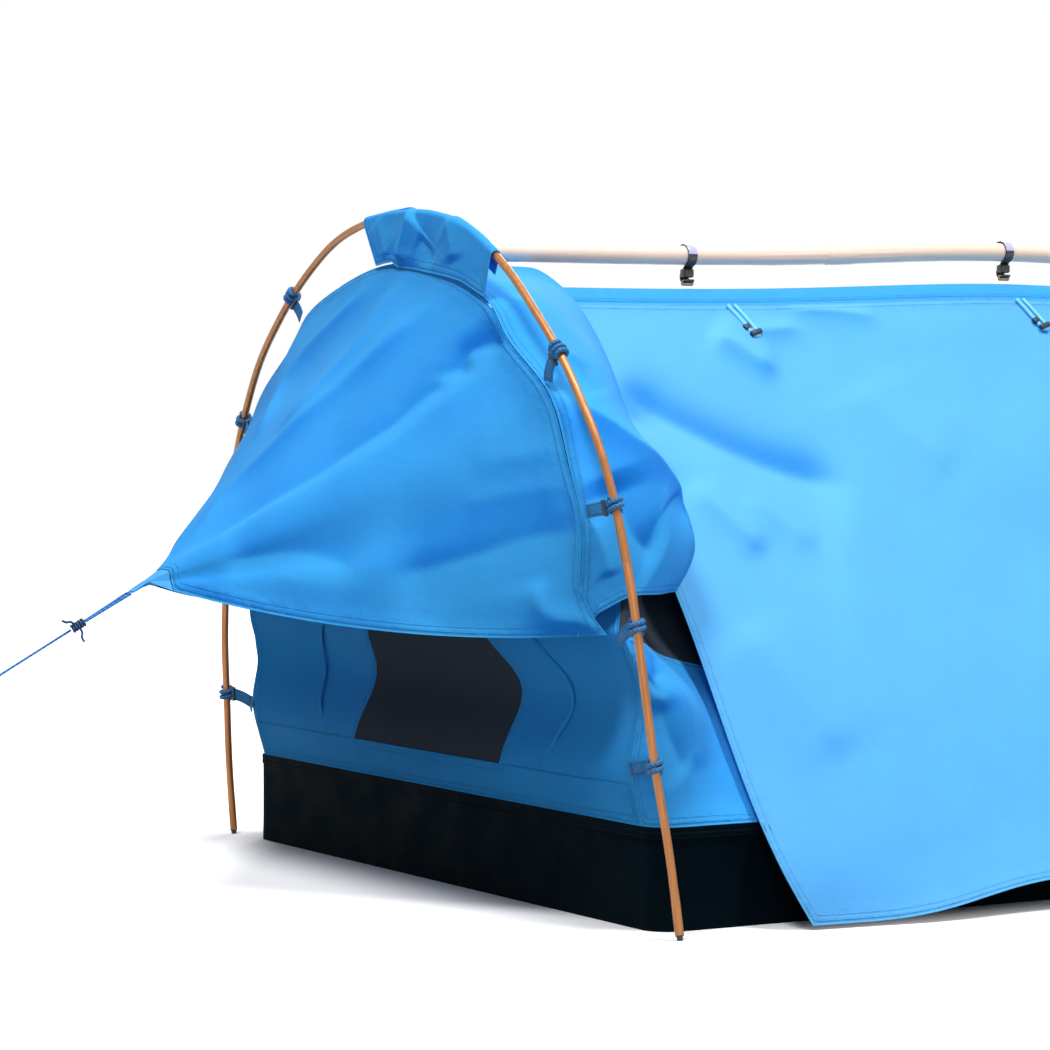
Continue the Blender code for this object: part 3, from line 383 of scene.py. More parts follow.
# A painted highlight for the tops of the hooks, in pale lilac plastic.
hook_highlight_plastic = moulded_finish("hook_highlight_plastic", (0.42, 0.4, 0.62), 0.16, 0.9)
keeper_plastic = moulded_finish("keeper_plastic", (0.002, 0.011, 0.026), 0.42, 0.1)
zinc = drawn_tube_finish("zinc_steel", (0.55, 0.56, 0.57), (0.42, 0.43, 0.44), 0.35, 0.85, (90, 90, 12))
blue_rope = rope_finish("blue_rope", (0.02, 0.2, 0.62), 0.007)
wound_cord = rope_finish("wound_cord", (0.012, 0.15, 0.38), 0.004)
knot_cord = rope_finish("knot_cord", (0.006, 0.055, 0.15), 0.004)
print("hard finishes:", bronze.name, pale_tube.name, hook_plastic.name, "rope:", blue_rope.name)

# %% [markdown]
# ## Helpers for objects
# Most pieces are made by the same few steps: put a mesh in the scene, open it, work on all of
# it, close it and apply what was added. At the end a piece is hung on its body, where it stands
# for its solid.

# %% Define the object helpers
def put_in_scene(name, mesh, finish=None):
    made = bpy.data.objects.new(name, mesh)
    bpy.context.scene.collection.objects.link(made)
    mesh.materials.clear()
    if finish:
        mesh.materials.append(finish)
    return made


def keep_values(made, name, values):
    """Stores one value for each point of a mesh, for its finish to read."""
    kept = made.data.attributes.new(name, "FLOAT", "POINT")
    kept.data.foreach_set("value", np.array(values, np.float32))


def only(made):
    """Selects one object alone."""
    bpy.ops.object.select_all(action="DESELECT")
    made.select_set(True)
    bpy.context.view_layer.objects.active = made


def edit_all():
    """Opens the active object with everything selected."""
    bpy.ops.object.mode_set(mode="EDIT")
    bpy.ops.mesh.select_all(action="SELECT")


def close():
    bpy.ops.object.mode_set(mode="OBJECT")


def apply_all(made):
    """Applies an object's modifiers in their order."""
    only(made)
    for modifier in list(made.modifiers):
        bpy.ops.object.modifier_apply(modifier=modifier.name)


def finer_grid(made, levels):
    """Adds a subdivision modifier, to be applied with the others."""
    finer = made.modifiers.new("finer", "SUBSURF")
    finer.levels = finer.render_levels = levels
    return finer


def smooth_below(degrees):
    bpy.ops.object.shade_smooth_by_angle(angle=math.radians(degrees))


def open_copy(node, name, merge, finish=None):
    """Opens a copy of a solid's mesh with its doubled points merged and everything selected."""
    made = put_in_scene(name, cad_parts[node].data.copy(), finish)
    only(made)
    edit_all()
    bpy.ops.mesh.customdata_custom_splitnormals_clear()
    bpy.ops.mesh.remove_doubles(threshold=merge)
    return made


def joined(main, *others):
    """Joins pieces into the first one, which keeps its name; each keeps its own finish."""
    only(main)
    for other in others:
        other.select_set(True)
    bpy.ops.object.join()


def hang(made, node, body):
    """A finished piece rides on its body and stands for its solid, which is hidden."""
    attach(made, body)
    if node:
        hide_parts(node)
    return made


def open_cube(name):
    """Opens a new cube of one metre with everything selected."""
    bpy.ops.object.select_all(action="DESELECT")
    bpy.ops.mesh.primitive_cube_add(size=1)
    bpy.context.object.name = name
    edit_all()
    return bpy.context.object


print("object helpers are ready")

# %% [markdown]
# ## Shapes carried along a line
# A swept tube is a ring of points carried along a line. Its map runs along the rope in metres
# and round it in turns. The same helper makes ropes and wound cords from a round outline, and
# tapes from a flat one.

# %% Define the swept pieces
def directions(points, level):
    """At each point of a line, two directions square to it, turned as little as possible."""
    found, side = [], None
    for at, point in enumerate(points):
        ahead = (points[min(at + 1, len(points) - 1)] - points[max(at - 1, 0)]).normalized()
        side = ahead.cross(level) if side is None else side - ahead * side.dot(ahead)
        side = side.normalized()
        found.append((side, side.cross(ahead)))
    return found


def swept(name, points, finish, outline, level=(0, 0, 1)):
    """A closed body along a line: outline is the cross-section, as points across and up."""
    points = [Vector(p) for p in points]
    bm = bmesh.new()
    layer = bm.loops.layers.uv.new("UVMap")
    rings, reach = [], [0.0]
    for one, two in zip(points, points[1:]):
        reach.append(reach[-1] + (two - one).length)
    for point, (side, up) in zip(points, directions(points, Vector(level))):
        rings.append([bm.verts.new(point + (side * x + up * y)) for x, y in outline])
    count = len(outline)
    for at in range(len(points) - 1):
        for turn in range(count):
            after = (turn + 1) % count
            face = bm.faces.new((rings[at][turn], rings[at + 1][turn], rings[at + 1][after], rings[at][after]))
            around = (turn / count, turn / count, (turn + 1) / count, (turn + 1) / count)
            for loop, far, wide in zip(face.loops, (reach[at], reach[at + 1], reach[at + 1], reach[at]), around):
                loop[layer].uv = (far, wide)
    bm.faces.new(rings[0])
    bm.faces.new(list(reversed(rings[-1])))
    bmesh.ops.recalc_face_normals(bm, faces=bm.faces)
    mesh = bpy.data.meshes.new(name)
    bm.to_mesh(mesh)
    bm.free()
    made = put_in_scene(name, mesh, finish)
    keep_values(made, "tail", [min(far, reach[-1] - far) for far in reach for _ in range(count)])
    mesh.shade_smooth()
    return made


def round_outline(radius, sides):
    turns = [full_turn * turn / sides for turn in range(sides)]
    return [(radius * math.cos(turn), radius * math.sin(turn)) for turn in turns]


def flat_outline(width, thickness):
    """A tape's cross-section: flat faces with eased edges."""
    half, thin, ease = width / 2, thickness / 2, thickness * 0.35
    quarter = [(half - ease, -thin), (half, -thin + ease), (half, thin - ease), (half - ease, thin)]
    middle = [(half * step / 2, thin) for step in (1, 0, -1)]
    other = [(-x, -y) for x, y in quarter]
    return [*quarter, *middle, *other, *[(-x, -y) for x, y in middle]]


def smooth_line(points, steps=6):
    """A smooth line through some points."""
    points = [Vector(p) for p in points]
    ends = [2 * points[0] - points[1], *points, 2 * points[-1] - points[-2]]
    line = []
    for a, b, c, d in zip(ends, ends[1:], ends[2:], ends[3:]):
        for step in range(steps):
            t = step / steps
            curve = (2 * a - 5 * b + 4 * c - d) * t**2 + (3 * b - a - 3 * c + d) * t**3
            line.append(0.5 * (2 * b + (c - a) * t + curve))
    line.append(points[-1])
    return line


def coil_line(centre, ahead, radius, pitch, turns):
    """A cord's line wound round a straight axis, centred on a place."""
    steps, lean = 18, 0.0008
    ahead = ahead.normalized()
    side = ahead.orthogonal().normalized()
    up = ahead.cross(side)
    line = []
    for step in range(round(turns * steps) + 1):
        turn = full_turn * step / steps
        along = (step / steps - turns / 2) * pitch + lean * math.sin(turn)
        line.append(centre + ahead * along + radius * (side * math.cos(turn) + up * math.sin(turn)))
    return line


print("a tape's outline has", len(flat_outline(0.02, 0.002)), "points")

# %% [markdown]
# ## Smooth tube and eased edges
# The solid model's tubes have few sides, and its hooks have hard edges. A copy of each is
# merged, its flat ends are creased, and it is subdivided until it is round, then grown by the
# little that rounding took off. Hard plastic gets a bevel instead.

# %% Smooth the tubes, and ease the edges of the plastic
def refined(node, finish, body="shelter", levels=0, grow=0.0, easing=0.0):
    """A rigid solid's own shape with its facets rounded or its edges eased."""
    made = open_copy(node, node + "_fine", 0.00001, finish)
    bpy.ops.mesh.tris_convert_to_quads(face_threshold=math.radians(25), shape_threshold=math.radians(60))
    if levels:
        bpy.ops.mesh.select_all(action="DESELECT")
        bpy.ops.mesh.edges_select_sharp(sharpness=math.radians(58))
        bpy.ops.transform.edge_crease(value=1.0)
    close()
    if easing:
        bevel = made.modifiers.new("eased", "BEVEL")
        bevel.width, bevel.segments, bevel.limit_method = easing, 3, "ANGLE"
        bevel.angle_limit = math.radians(38)
    if levels:
        finer_grid(made, levels)
    apply_all(made)
    if grow:
        edit_all()
        bpy.ops.transform.shrink_fatten(value=grow)
        close()
    smooth_below(42)
    return hang(made, node, body)


def eased_block(name, size, centre, axes, finish, easing):
    """A small moulded block: a cube, stretched and bevelled in edit mode, then set in place."""
    made = open_cube(name)
    bpy.ops.transform.resize(value=size, center_override=(0, 0, 0))
    bpy.ops.mesh.bevel(offset=easing, segments=3, affect="EDGES")
    close()
    turn = Matrix([list(axis) for axis in axes]).transposed().to_4x4()
    made.data.transform(Matrix.Translation(centre) @ turn)
    if turn.determinant() < 0:
        made.data.flip_normals()
    made.data.materials.append(finish)
    smooth_below(40)
    return made


print("helpers for hard pieces are ready")

# %% [markdown]
# ## The guy rope
# A strap at the awning's point carries a doubled loop of rope, which is knotted into the guy.
# The guy is held taut by a peg, so it runs straight down to the ground. It leaves the
# picture on the way, and its peg stands just outside it.

# %% Make the guy rope and its loop
rope_radius = 0.00175
rope_start, rope_end = Vector((0, -1.56074, 0.37126)), Vector((0, -2.21155, 0.00771))
rope_line = [rope_start.lerp(rope_end, step / 72) for step in range(73)]
guy = swept("guy_rope_laid", rope_line, blue_rope, round_outline(rope_radius, 12), (1, 0, 0))
hang(guy, "guy_rope", "shelter")
loop_points = [
    (0.0032, -1.53979, 0.38296), (0.0032, -1.5335, 0.38647), (0.0072, -1.48134, 0.41561),
    (0.00665, -1.47893, 0.41696), (0.00509, -1.47689, 0.41809), (0.00276, -1.47553, 0.41886),
    (0, -1.47505, 0.41912), (-0.00276, -1.47553, 0.41886), (-0.00509, -1.47689, 0.41809),
    (-0.00665, -1.47893, 0.41696), (-0.0072, -1.48134, 0.41561), (-0.0032, -1.5335, 0.38647),
    (-0.0032, -1.53979, 0.38296),
]
loop_line = smooth_line(loop_points, 7)
rope_loop = swept("guy_loop_laid", loop_line, blue_rope, round_outline(rope_radius, 12), (0, 0.5, -1))
hang(rope_loop, "guy_rope_loop", "shelter")
print("rope and loop have", len(guy.data.polygons) + len(rope_loop.data.polygons), "faces")

# %% Knot the rope and peg it down
rope_ahead = (rope_end - rope_start).normalized()
knot_place = Vector((0, -1.55, 0.3773))
knot_line = coil_line(knot_place, rope_ahead, 0.0044, 0.0042, 4.6)
knot = swept("guy_knot_wound", knot_line, knot_cord, round_outline(0.0021, 10), tuple(rope_ahead))
knot_tails = [
    [(0.002, -1.556, 0.3785), (0.009, -1.5645, 0.383), (0.0115, -1.5715, 0.3825), (0.0155, -1.579, 0.385)],
    [(0.002, -1.548, 0.374), (0.0085, -1.5475, 0.3675), (0.0105, -1.549, 0.362), (0.013, -1.5465, 0.356)],
]
for at, line in enumerate(knot_tails):
    joined(knot, swept(f"knot_tail_{at}", smooth_line(line, 4), knot_cord, round_outline(0.0017, 8)))
hang(knot, "guy_knot", "shelter")
peg = refined("guy_peg", zinc, levels=1)
print("knot of", len(knot.data.polygons), "faces, peg of", len(peg.data.polygons))

# %% [markdown]
# ## Cutting the cloth
# Each canvas piece of the solid model is a thin plate of the right shape. Its outer face is
# taken as the pattern: the other faces are deleted, the triangles are joined into quads, the
# piece is unwrapped to get its flat map, and the grid is made finer by subdivision. The map
# is then scaled to metres, so a thread is the same size on every piece.

# %% Define how cloth is measured
def metre_map(made, along):
    """Scales the flat map to metres and turns it so that its first axis runs along a direction."""
    mesh = made.data
    layer = mesh.uv_layers.active.data
    flat = np.array([d.uv for d in layer], float)
    corner_of = np.array([loop.vertex_index for loop in mesh.loops])
    places = np.array([v.co for v in mesh.vertices], float)[corner_of]
    reach = places @ np.array(along, float)
    flat -= flat.mean(0)
    slope = np.linalg.lstsq(np.c_[flat, np.ones(len(flat))], reach, rcond=None)[0][:2]
    slope /= np.linalg.norm(slope)
    covered = 0.0
    for face in mesh.polygons:
        ring = flat[list(face.loop_indices)]
        covered += abs(np.cross(ring, np.roll(ring, -1, axis=0)).sum()) / 2
    scale = math.sqrt(sum(face.area for face in mesh.polygons) / covered)
    turned = np.c_[flat @ slope, flat @ np.array((-slope[1], slope[0]))] * scale
    for at, place in enumerate(turned):
        layer[at].uv = place
    return np.ptp(turned, axis=0)


def search_tree(spots):
    """A tree that finds the nearest of some places."""
    made = KDTree(len(spots))
    for at, spot in enumerate(spots):
        made.insert(spot, at)
    made.balance()
    return made


def mark_edges(made):
    """Stores each point's distance from the cloth's edge, and its place along that edge."""
    bm = bmesh.new()
    bm.from_mesh(made.data)
    bm.edges.ensure_lookup_table()
    left = {e.index for e in bm.edges if e.is_boundary}
    spots, run = [], 0.0
    while left:
        edge = bm.edges[min(left)]
        here = edge.verts[0]
        while edge is not None:
            left.discard(edge.index)
            there = edge.other_vert(here)
            span = (there.co - here.co).length
            count = max(1, round(span / 0.0015))
            spots += [(here.co.lerp(there.co, s / count), run + span * s / count) for s in range(count)]
            run += span
            here = there
            edge = next((e for e in here.link_edges if e.index in left), None)
    edge_spots = search_tree([spot for spot, _ in spots])
    found = [edge_spots.find(v.co) for v in bm.verts]
    bm.free()
    edges = np.array([far for _, _, far in found])
    keep_values(made, "edge", edges)
    keep_values(made, "run", [spots[at][1] for _, at, _ in found])
    return edges


print("each point of a cloth knows how far it is from the edge, and how far along it")

# %% Define how cloth is cut
def hold_corners(made):
    """Keeps a corner in a cloth's edge sharp when the grid is made finer."""
    least = math.radians(62)
    bm = bmesh.new()
    bm.from_mesh(made.data)
    held = np.zeros(len(bm.verts), np.float32)
    for vert in bm.verts:
        ends = [edge.other_vert(vert).co - vert.co for edge in vert.link_edges if edge.is_boundary]
        if len(ends) == 2 and ends[0].angle(-ends[1]) > least:
            held[vert.index] = 1
    bm.free()
    keep_values(made, "crease_vert", held)


def cut_cloth(node, name, toward, along, levels, fold_limit, facing):
    """The face of a thin solid that looks toward a direction, as an open cloth of fine quads."""
    made = open_copy(node, name, 0.0001)
    bpy.ops.mesh.select_all(action="DESELECT")
    bpy.ops.mesh.select_mode(type="FACE")
    close()
    aim = Vector(toward)
    best = max(made.data.polygons, key=lambda face: face.normal.dot(aim) * face.area)
    for face in made.data.polygons:
        face.select = face == best if facing is None else face.normal.dot(aim) > facing
    bpy.ops.object.mode_set(mode="EDIT")
    if facing is None:
        bpy.ops.mesh.faces_select_linked_flat(sharpness=math.radians(fold_limit))
    bpy.ops.mesh.select_all(action="INVERT")
    bpy.ops.mesh.delete(type="FACE")
    bpy.ops.mesh.select_all(action="SELECT")
    bpy.ops.mesh.tris_convert_to_quads(face_threshold=math.pi, shape_threshold=math.pi)
    close()
    hold_corners(made)
    while made.data.uv_layers:
        made.data.uv_layers.remove(made.data.uv_layers[0])
    made.data.uv_layers.new(name="UVMap")
    edit_all()
    bpy.ops.uv.unwrap(method="ANGLE_BASED", margin=0)
    close()
    finer_grid(made, levels).boundary_smooth = "PRESERVE_CORNERS"
    apply_all(made)
    size = metre_map(made, along)
    print(f"{name}: {len(made.data.polygons)} quads, {size[0]:.3f} x {size[1]:.3f} m flat")
    return made


print("cloth can be cut, unwrapped and made finer")

# %% [markdown]
# ## Folds and thickness
# Cloth under tension creases along straight lines between the places that pull on it. A
# crease is given here as a line on the cloth with a height and two widths: the points near the
# line move out along their normals, often steeply on one side and gently on the other. Each
# point also keeps how far the folds have tipped it up or down, and the finish paints that as
# light and shade: paler where a fold turns the cloth up, deeper where it turns it down.

# %% Define the folds
def arrays(made):
    """A mesh's points and their normals, as arrays."""
    count = len(made.data.vertices)
    places, normals = np.zeros(count * 3), np.zeros(count * 3)
    made.data.vertices.foreach_get("co", places)
    made.data.vertices.foreach_get("normal", normals)
    return places.reshape(-1, 3), normals.reshape(-1, 3)


def store(made, places):
    made.data.vertices.foreach_set("co", places.astype(np.float32).ravel())
    made.data.update()


def edge_values(made):
    """Each point's stored distance from the cloth's edge."""
    edges = np.zeros(len(made.data.vertices))
    made.data.attributes["edge"].data.foreach_get("value", edges)
    return edges


def eased(share):
    """A share of a way, eased at both of its ends."""
    return share * share * (3 - 2 * share)


def crease(made, folds, edges, quiet=0.016):
    """Raises a table of folds: a line, its height, and its width on the left and on the right."""
    places, normals = arrays(made)
    moved = np.zeros(len(places))
    for line, height, left, right in folds:
        points = np.array([tuple(p) for p in smooth_line(line, 8)])
        reach = np.r_[0, np.cumsum(np.linalg.norm(np.diff(points, axis=0), axis=1))]
        best = np.full(len(places), 1e9)
        share, side = np.zeros(len(places)), np.zeros(len(places))
        for at in range(len(points) - 1):
            one, step = points[at], points[at + 1] - points[at]
            t = np.clip((places - one) @ step / (step @ step), 0, 1)
            off = places - one - t[:, None] * step
            far = np.linalg.norm(off, axis=1)
            near = far < best
            best[near] = far[near]
            share[near] = (reach[at] + t[near] * np.linalg.norm(step)) / reach[-1]
            turn = np.cross(np.broadcast_to(step, normals.shape), normals)
            side[near] = (turn * off).sum(1)[near]
        width = np.where(side > 0, right, left)
        fade = np.clip(np.minimum(share, 1 - share) / 0.2, 0, 1)
        moved += height * eased(fade) * np.exp(-((best / width) ** 1.2))
    moved *= eased(np.clip(edges / quiet, 0, 1))
    store(made, places + normals * moved[:, None])


def mirrored(folds, turn):
    """The same folds on the other side or end, where left and right change places."""
    return [
        ([tuple(np.array(p) * turn) for p in line], height, right, left) for line, height, left, right in folds
    ]


def waver(made, height, size, seed, edges, quiet):
    """Small uneven swells, as tent cloth always has, calmer near its sewn edges."""
    places, normals = arrays(made)
    shift = Vector((seed * 3.7, seed * 1.3, seed * 2.1))
    swell = np.array([noise.noise(Vector(p) / size + shift) for p in places])
    swell *= np.clip(edges / quiet, 0, 1)
    store(made, places + normals * (height * swell)[:, None])


print("a tenth of the way along, an eased share is", round(eased(0.1), 3))

# %% Define how a cloth is finished
def thicken(made, thickness, finish, smooth=50):
    """Gives an open skin its thickness, inward from the face that shows."""
    made.data.materials.append(finish)
    solid = made.modifiers.new("thickness", "SOLIDIFY")
    solid.thickness, solid.offset = thickness, -1
    apply_all(made)
    smooth_below(smooth)


canvas_thickness, mesh_thickness = 0.0016, 0.001
lengthwise, crosswise = (0, 1, 0), (1, 0, 0)


def make_cloth(
    node, toward, along=lengthwise, body="shelter", finish=body_canvas, levels=3, folds=(),
    swell=0.0, size=0.12, quiet=0.05, thickness=canvas_thickness, fold_limit=50,
    shape=None, facing=None,
):
    """A canvas piece from its solid: cut, folded, thickened and hung."""
    name = node.replace("_mesh", "_veil") if node.endswith("_mesh") else node + "_canvas"
    made = cut_cloth(node, name, toward, along, levels, fold_limit, facing)
    edges = mark_edges(made)
    _, smooth = arrays(made)
    if swell:
        waver(made, swell, size, len(name), edges, quiet)
    if folds:
        crease(made, folds, edges)
    if shape:
        shape(made)
    _, folded = arrays(made)
    # The tilt that the folds give each point, which the finish paints as light and shade.
    keep_values(made, "fade", folded[:, 2] - smooth[:, 2])
    thicken(made, thickness, finish)
    hang(made, node, body)


print("canvas is", canvas_thickness * 1000, "mm thick, mesh", mesh_thickness * 1000, "mm")

# %% [markdown]
# ## The two flies
# The fly is the big sheet that hangs from the ridge and is pulled out past the tub.

# %% List the fly's folds and make both flies
fly_folds = [
    ([(0.149, -0.804, 0.709), (0.184, -0.743, 0.668), (0.211, -0.676, 0.632), (0.228, -0.598, 0.598),
      (0.239, -0.514, 0.573), (0.255, -0.454, 0.553)], -0.019, 0.036, 0.12),
    ([(0.067, -0.588, 0.779), (0.084, -0.557, 0.759), (0.101, -0.528, 0.737), (0.109, -0.497, 0.724)],
     0.009, 0.04, 0.026),
    ([(0.03, -0.43, 0.823), (0.034, -0.361, 0.814), (0.045, -0.268, 0.805)], 0.004, 0.024, 0.02),
    ([(0.062, -0.518, 0.78), (0.057, -0.456, 0.786), (0.055, -0.42, 0.79)], 0.004, 0.018, 0.018),
    ([(0.279, -0.758, 0.565), (0.3, -0.734, 0.539), (0.323, -0.71, 0.507), (0.349, -0.679, 0.47)],
     0.007, 0.035, 0.024),
    ([(0.277, -0.666, 0.554), (0.304, -0.611, 0.509), (0.328, -0.576, 0.476)], 0.004, 0.035, 0.026),
    ([(0.203, -0.793, 0.652), (0.235, -0.788, 0.617), (0.271, -0.783, 0.576)], 0.005, 0.02, 0.02),
    ([(0.121, -0.377, 0.71), (0.185, -0.333, 0.637), (0.234, -0.261, 0.578)], 0.0035, 0.08, 0.06),
    ([(0.43, -0.78, 0.385), (0.497, -0.724, 0.279), (0.55, -0.68, 0.201)], 0.004, 0.06, 0.05),
]
other_side, other_end = (-1, 1, 1), (1, -1, 1)
for side, out, folds in (("near", 1, fly_folds), ("far", -1, mirrored(fly_folds, other_side))):
    make_cloth(
        f"{side}_fly", (out, 0, 0.6), body=f"{side}_fly", finish=fly_canvas, folds=folds, swell=0.005, size=0.26,
        quiet=0.08,
    )

# %% [markdown]
# ## Ridge band, hoods and sleeves
# The ridge band is folded over the tops of both flies and sewn through. The hoods close the
# tent behind each hoop, and the sleeves carry the hoops' crowns.

# %% List the folds of hoods and sleeves, and say how their edges are drawn
hood_folds = [
    ([(0.43, -1.055, 0.705), (0.463, -1.041, 0.668), (0.471, -0.976, 0.627), (0.442, -0.911, 0.59),
      (0.425, -0.872, 0.559), (0.45, -0.872, 0.525)], 0.013, 0.034, 0.036),
    ([(0.507, -1.024, 0.588), (0.531, -0.996, 0.511), (0.511, -0.947, 0.471)], -0.014, 0.045, 0.045),
    ([(0.265, -1.052, 0.818), (0.278, -1.035, 0.816), (0.32, -1.026, 0.793), (0.393, -1.014, 0.728),
      (0.413, -1.0, 0.711)], 0.0055, 0.014, 0.016),
    ([(0.54, -1.068, 0.53), (0.537, -1.055, 0.49), (0.536, -1.035, 0.445)], 0.005, 0.014, 0.018),
]


def lift_corners(made):
    """Draws the hood's lower edge up behind its front seam, where the tie holds the two apart."""
    places, _ = arrays(made)
    rise, reach, tie_height, front_seam, back_end = 0.015, 0.06, 0.47, 1.068, 0.93
    low = np.clip((tie_height - places[:, 2]) / reach, 0, 1)
    outward = np.abs(places[:, 1])
    back = np.clip((front_seam - outward) / 0.014, 0, 1) * np.clip((outward - back_end) / 0.09, 0, 1)
    places[:, 2] += rise * eased(low) * eased(back)
    store(made, places)


def seat_sleeve(made):
    """Draws the front sleeve's outer edge down to the seam below it, and keeps either off the tube."""
    places, _ = arrays(made)
    across, along = places[:, 0], places[:, 1]
    forward = -1 if along.mean() < 0 else 1
    fall, clearance = 0.0095 if forward < 0 else 0, 0.0015
    hem, half_width, lowest_at, low_half = 0.035, 0.2, 0.12, 0.125
    lower = np.clip((hem - edge_values(made)) / 0.03, 0, 1) * ((along - along.mean()) * forward > 0.004)
    inner = np.clip((half_width - np.abs(across)) / 0.1, 0, 1)
    ends = np.clip((low_half - np.abs(across - lowest_at)) / 0.02, 0.25, 1)
    places[:, 2] -= fall * lower * inner * ends
    places[:, 1] += clearance * forward
    store(made, places)


sleeve_folds = [
    ([(0.055, -1.066, 0.945), (0.049, -1.07, 0.937), (0.033, -1.073, 0.903), (0.02, -1.075, 0.875)],
     0.01, 0.034, 0.012),
    ([(0.075, -1.071, 0.91), (0.1, -1.072, 0.892), (0.118, -1.074, 0.868)], -0.004, 0.012, 0.02),
    ([(0.15, -1.071, 0.93), (0.17, -1.073, 0.9), (0.175, -1.075, 0.865)], 0.0045, 0.02, 0.02),
    ([(-0.055, -1.069, 0.94), (-0.03, -1.072, 0.905), (-0.01, -1.075, 0.88)], 0.003, 0.022, 0.022),
]
print("hood folds:", len(hood_folds), "sleeve folds:", len(sleeve_folds))

# %% Make the ridge band, hoods, sleeves and end flap
make_cloth("ridge_band", (0, 0, 1), finish=band_canvas, facing=0.3)
hood_folds += mirrored(hood_folds, other_side)
for end in ("front", "rear"):
    on_hood, on_sleeve = (
        folds if end == "front" else mirrored(folds, other_end) for folds in (hood_folds, sleeve_folds)
    )
    make_cloth(
        f"{end}_hood", (0, 0, 1), crosswise, levels=4, folds=on_hood, swell=0.004, size=0.11, quiet=0.04,
        shape=lift_corners,
    )
    make_cloth(
        f"{end}_sleeve", (0, 0, 1), crosswise, levels=4, folds=on_sleeve, swell=0.001, size=0.05, quiet=0.02,
        fold_limit=70, shape=seat_sleeve,
    )
make_cloth(
    "rear_end_flap", (0, 1, 0), crosswise, "end_flap", swell=0.004, size=0.15, quiet=0.06,
)

# %% [markdown]
# ## The awning
# The awning is one sheet, sewn to the hood's front seam and pulled forward to a point. One long
# crease runs up it from the point: a low crest, and a valley laid beside it along the same line.

# %% List the awning's folds and make the awning
main_crest = [
    (-0.01, -1.43, 0.44), (0.034, -1.387, 0.478), (0.102, -1.318, 0.531), (0.152, -1.267, 0.565),
    (0.182, -1.233, 0.593), (0.226, -1.191, 0.627), (0.248, -1.163, 0.655), (0.285, -1.126, 0.692),
    (0.315, -1.096, 0.724), (0.335, -1.075, 0.742),
]
beside = Vector((-0.022, -0.002, 0.014))
awning_folds = [
    (main_crest, 0.006, 0.018, 0.1),
    ([Vector(spot) + beside for spot in main_crest], -0.0095, 0.04, 0.02),
    ([(-0.011, -1.404, 0.467), (-0.05, -1.31, 0.547), (-0.01, -1.25, 0.619), (0.036, -1.201, 0.675),
      (0.083, -1.154, 0.734), (0.139, -1.104, 0.797), (0.16, -1.072, 0.846)], 0.008, 0.034, 0.026),
    ([(-0.033, -1.24, 0.63), (-0.002, -1.181, 0.703), (0.027, -1.145, 0.753), (0.034, -1.105, 0.813),
      (0.06, -1.07, 0.865)], 0.0065, 0.022, 0.022),
    ([(-0.1, -1.24, 0.62), (-0.167, -1.172, 0.69), (-0.165, -1.144, 0.728), (-0.132, -1.124, 0.767),
      (-0.063, -1.099, 0.82), (-0.02, -1.07, 0.87)], 0.006, 0.022, 0.022),
    ([(0.325, -1.076, 0.757), (0.3, -1.084, 0.755), (0.277, -1.102, 0.749), (0.269, -1.111, 0.735),
      (0.274, -1.12, 0.7)], -0.014, 0.014, 0.022),
    ([(0.55, -1.08, 0.52), (0.5, -1.1, 0.51), (0.449, -1.133, 0.501), (0.395, -1.166, 0.48),
      (0.342, -1.2, 0.463), (0.281, -1.242, 0.442)], -0.009, 0.06, 0.04),
    ([(0.473, -1.12, 0.45), (0.481, -1.113, 0.409), (0.504, -1.096, 0.397), (0.54, -1.08, 0.392)],
     0.01, 0.018, 0.024),
    ([(0.48, -1.082, 0.62), (0.45, -1.09, 0.61), (0.431, -1.102, 0.607), (0.35, -1.14, 0.59)],
     0.003, 0.026, 0.03),
    ([(0.5, -1.082, 0.565), (0.45, -1.105, 0.562), (0.35, -1.16, 0.54)], 0.003, 0.026, 0.03),
    ([(0.26, -1.25, 0.45), (0.161, -1.3, 0.475), (0.07, -1.38, 0.46)], -0.006, 0.035, 0.035),
    ([(-0.03, -1.42, 0.44), (-0.14, -1.31, 0.5), (-0.25, -1.2, 0.56), (-0.38, -1.1, 0.62)], 0.009, 0.06, 0.036),
    ([(-0.5, -1.09, 0.48), (-0.4, -1.15, 0.47), (-0.27, -1.25, 0.45)], -0.012, 0.045, 0.07),
]


def pull_corners(made):
    """Draws the awning's two lower corners out to the ties that hold them."""
    places, _ = arrays(made)
    reach, way = 0.075, np.array((0.03, 0.027, 0.003))
    for side in (1, -1):
        corner = places[np.argmax(side * places[:, 0] * 2 - places[:, 2])]
        far = np.linalg.norm(places - corner, axis=1)
        places += np.clip(1 - far / reach, 0, 1)[:, None] ** 1.6 * way * (side, 1, 1)
    store(made, places)


make_cloth(
    "front_awning", (0, -0.3, 1), crosswise, folds=awning_folds, swell=0.004,
    shape=pull_corners,
)

# %% [markdown]
# ## Walls and windows
# The end walls have a mesh window each. The side walls are low, with mesh above them.

# %% List the side walls' folds
side_folds = [
    ([(0.57, -0.976, 0.352), (0.575, -0.992, 0.33), (0.58, -1.012, 0.305)], -0.009, 0.012, 0.022),
    ([(0.565, -1.0, 0.375), (0.57, -0.975, 0.365), (0.575, -0.945, 0.345)], 0.004, 0.014, 0.014),
    ([(0.582, -1.0, 0.3), (0.586, -0.985, 0.25), (0.588, -0.95, 0.2)], -0.006, 0.018, 0.03),
    ([(0.585, -0.94, 0.33), (0.588, -0.93, 0.27), (0.588, -0.925, 0.2)], 0.006, 0.028, 0.02),
    ([(0.582, -1.022, 0.28), (0.586, -1.02, 0.22), (0.588, -1.015, 0.165)], 0.004, 0.014, 0.014),
]
side_folds += mirrored(side_folds, other_end)
print("side folds:", len(side_folds))

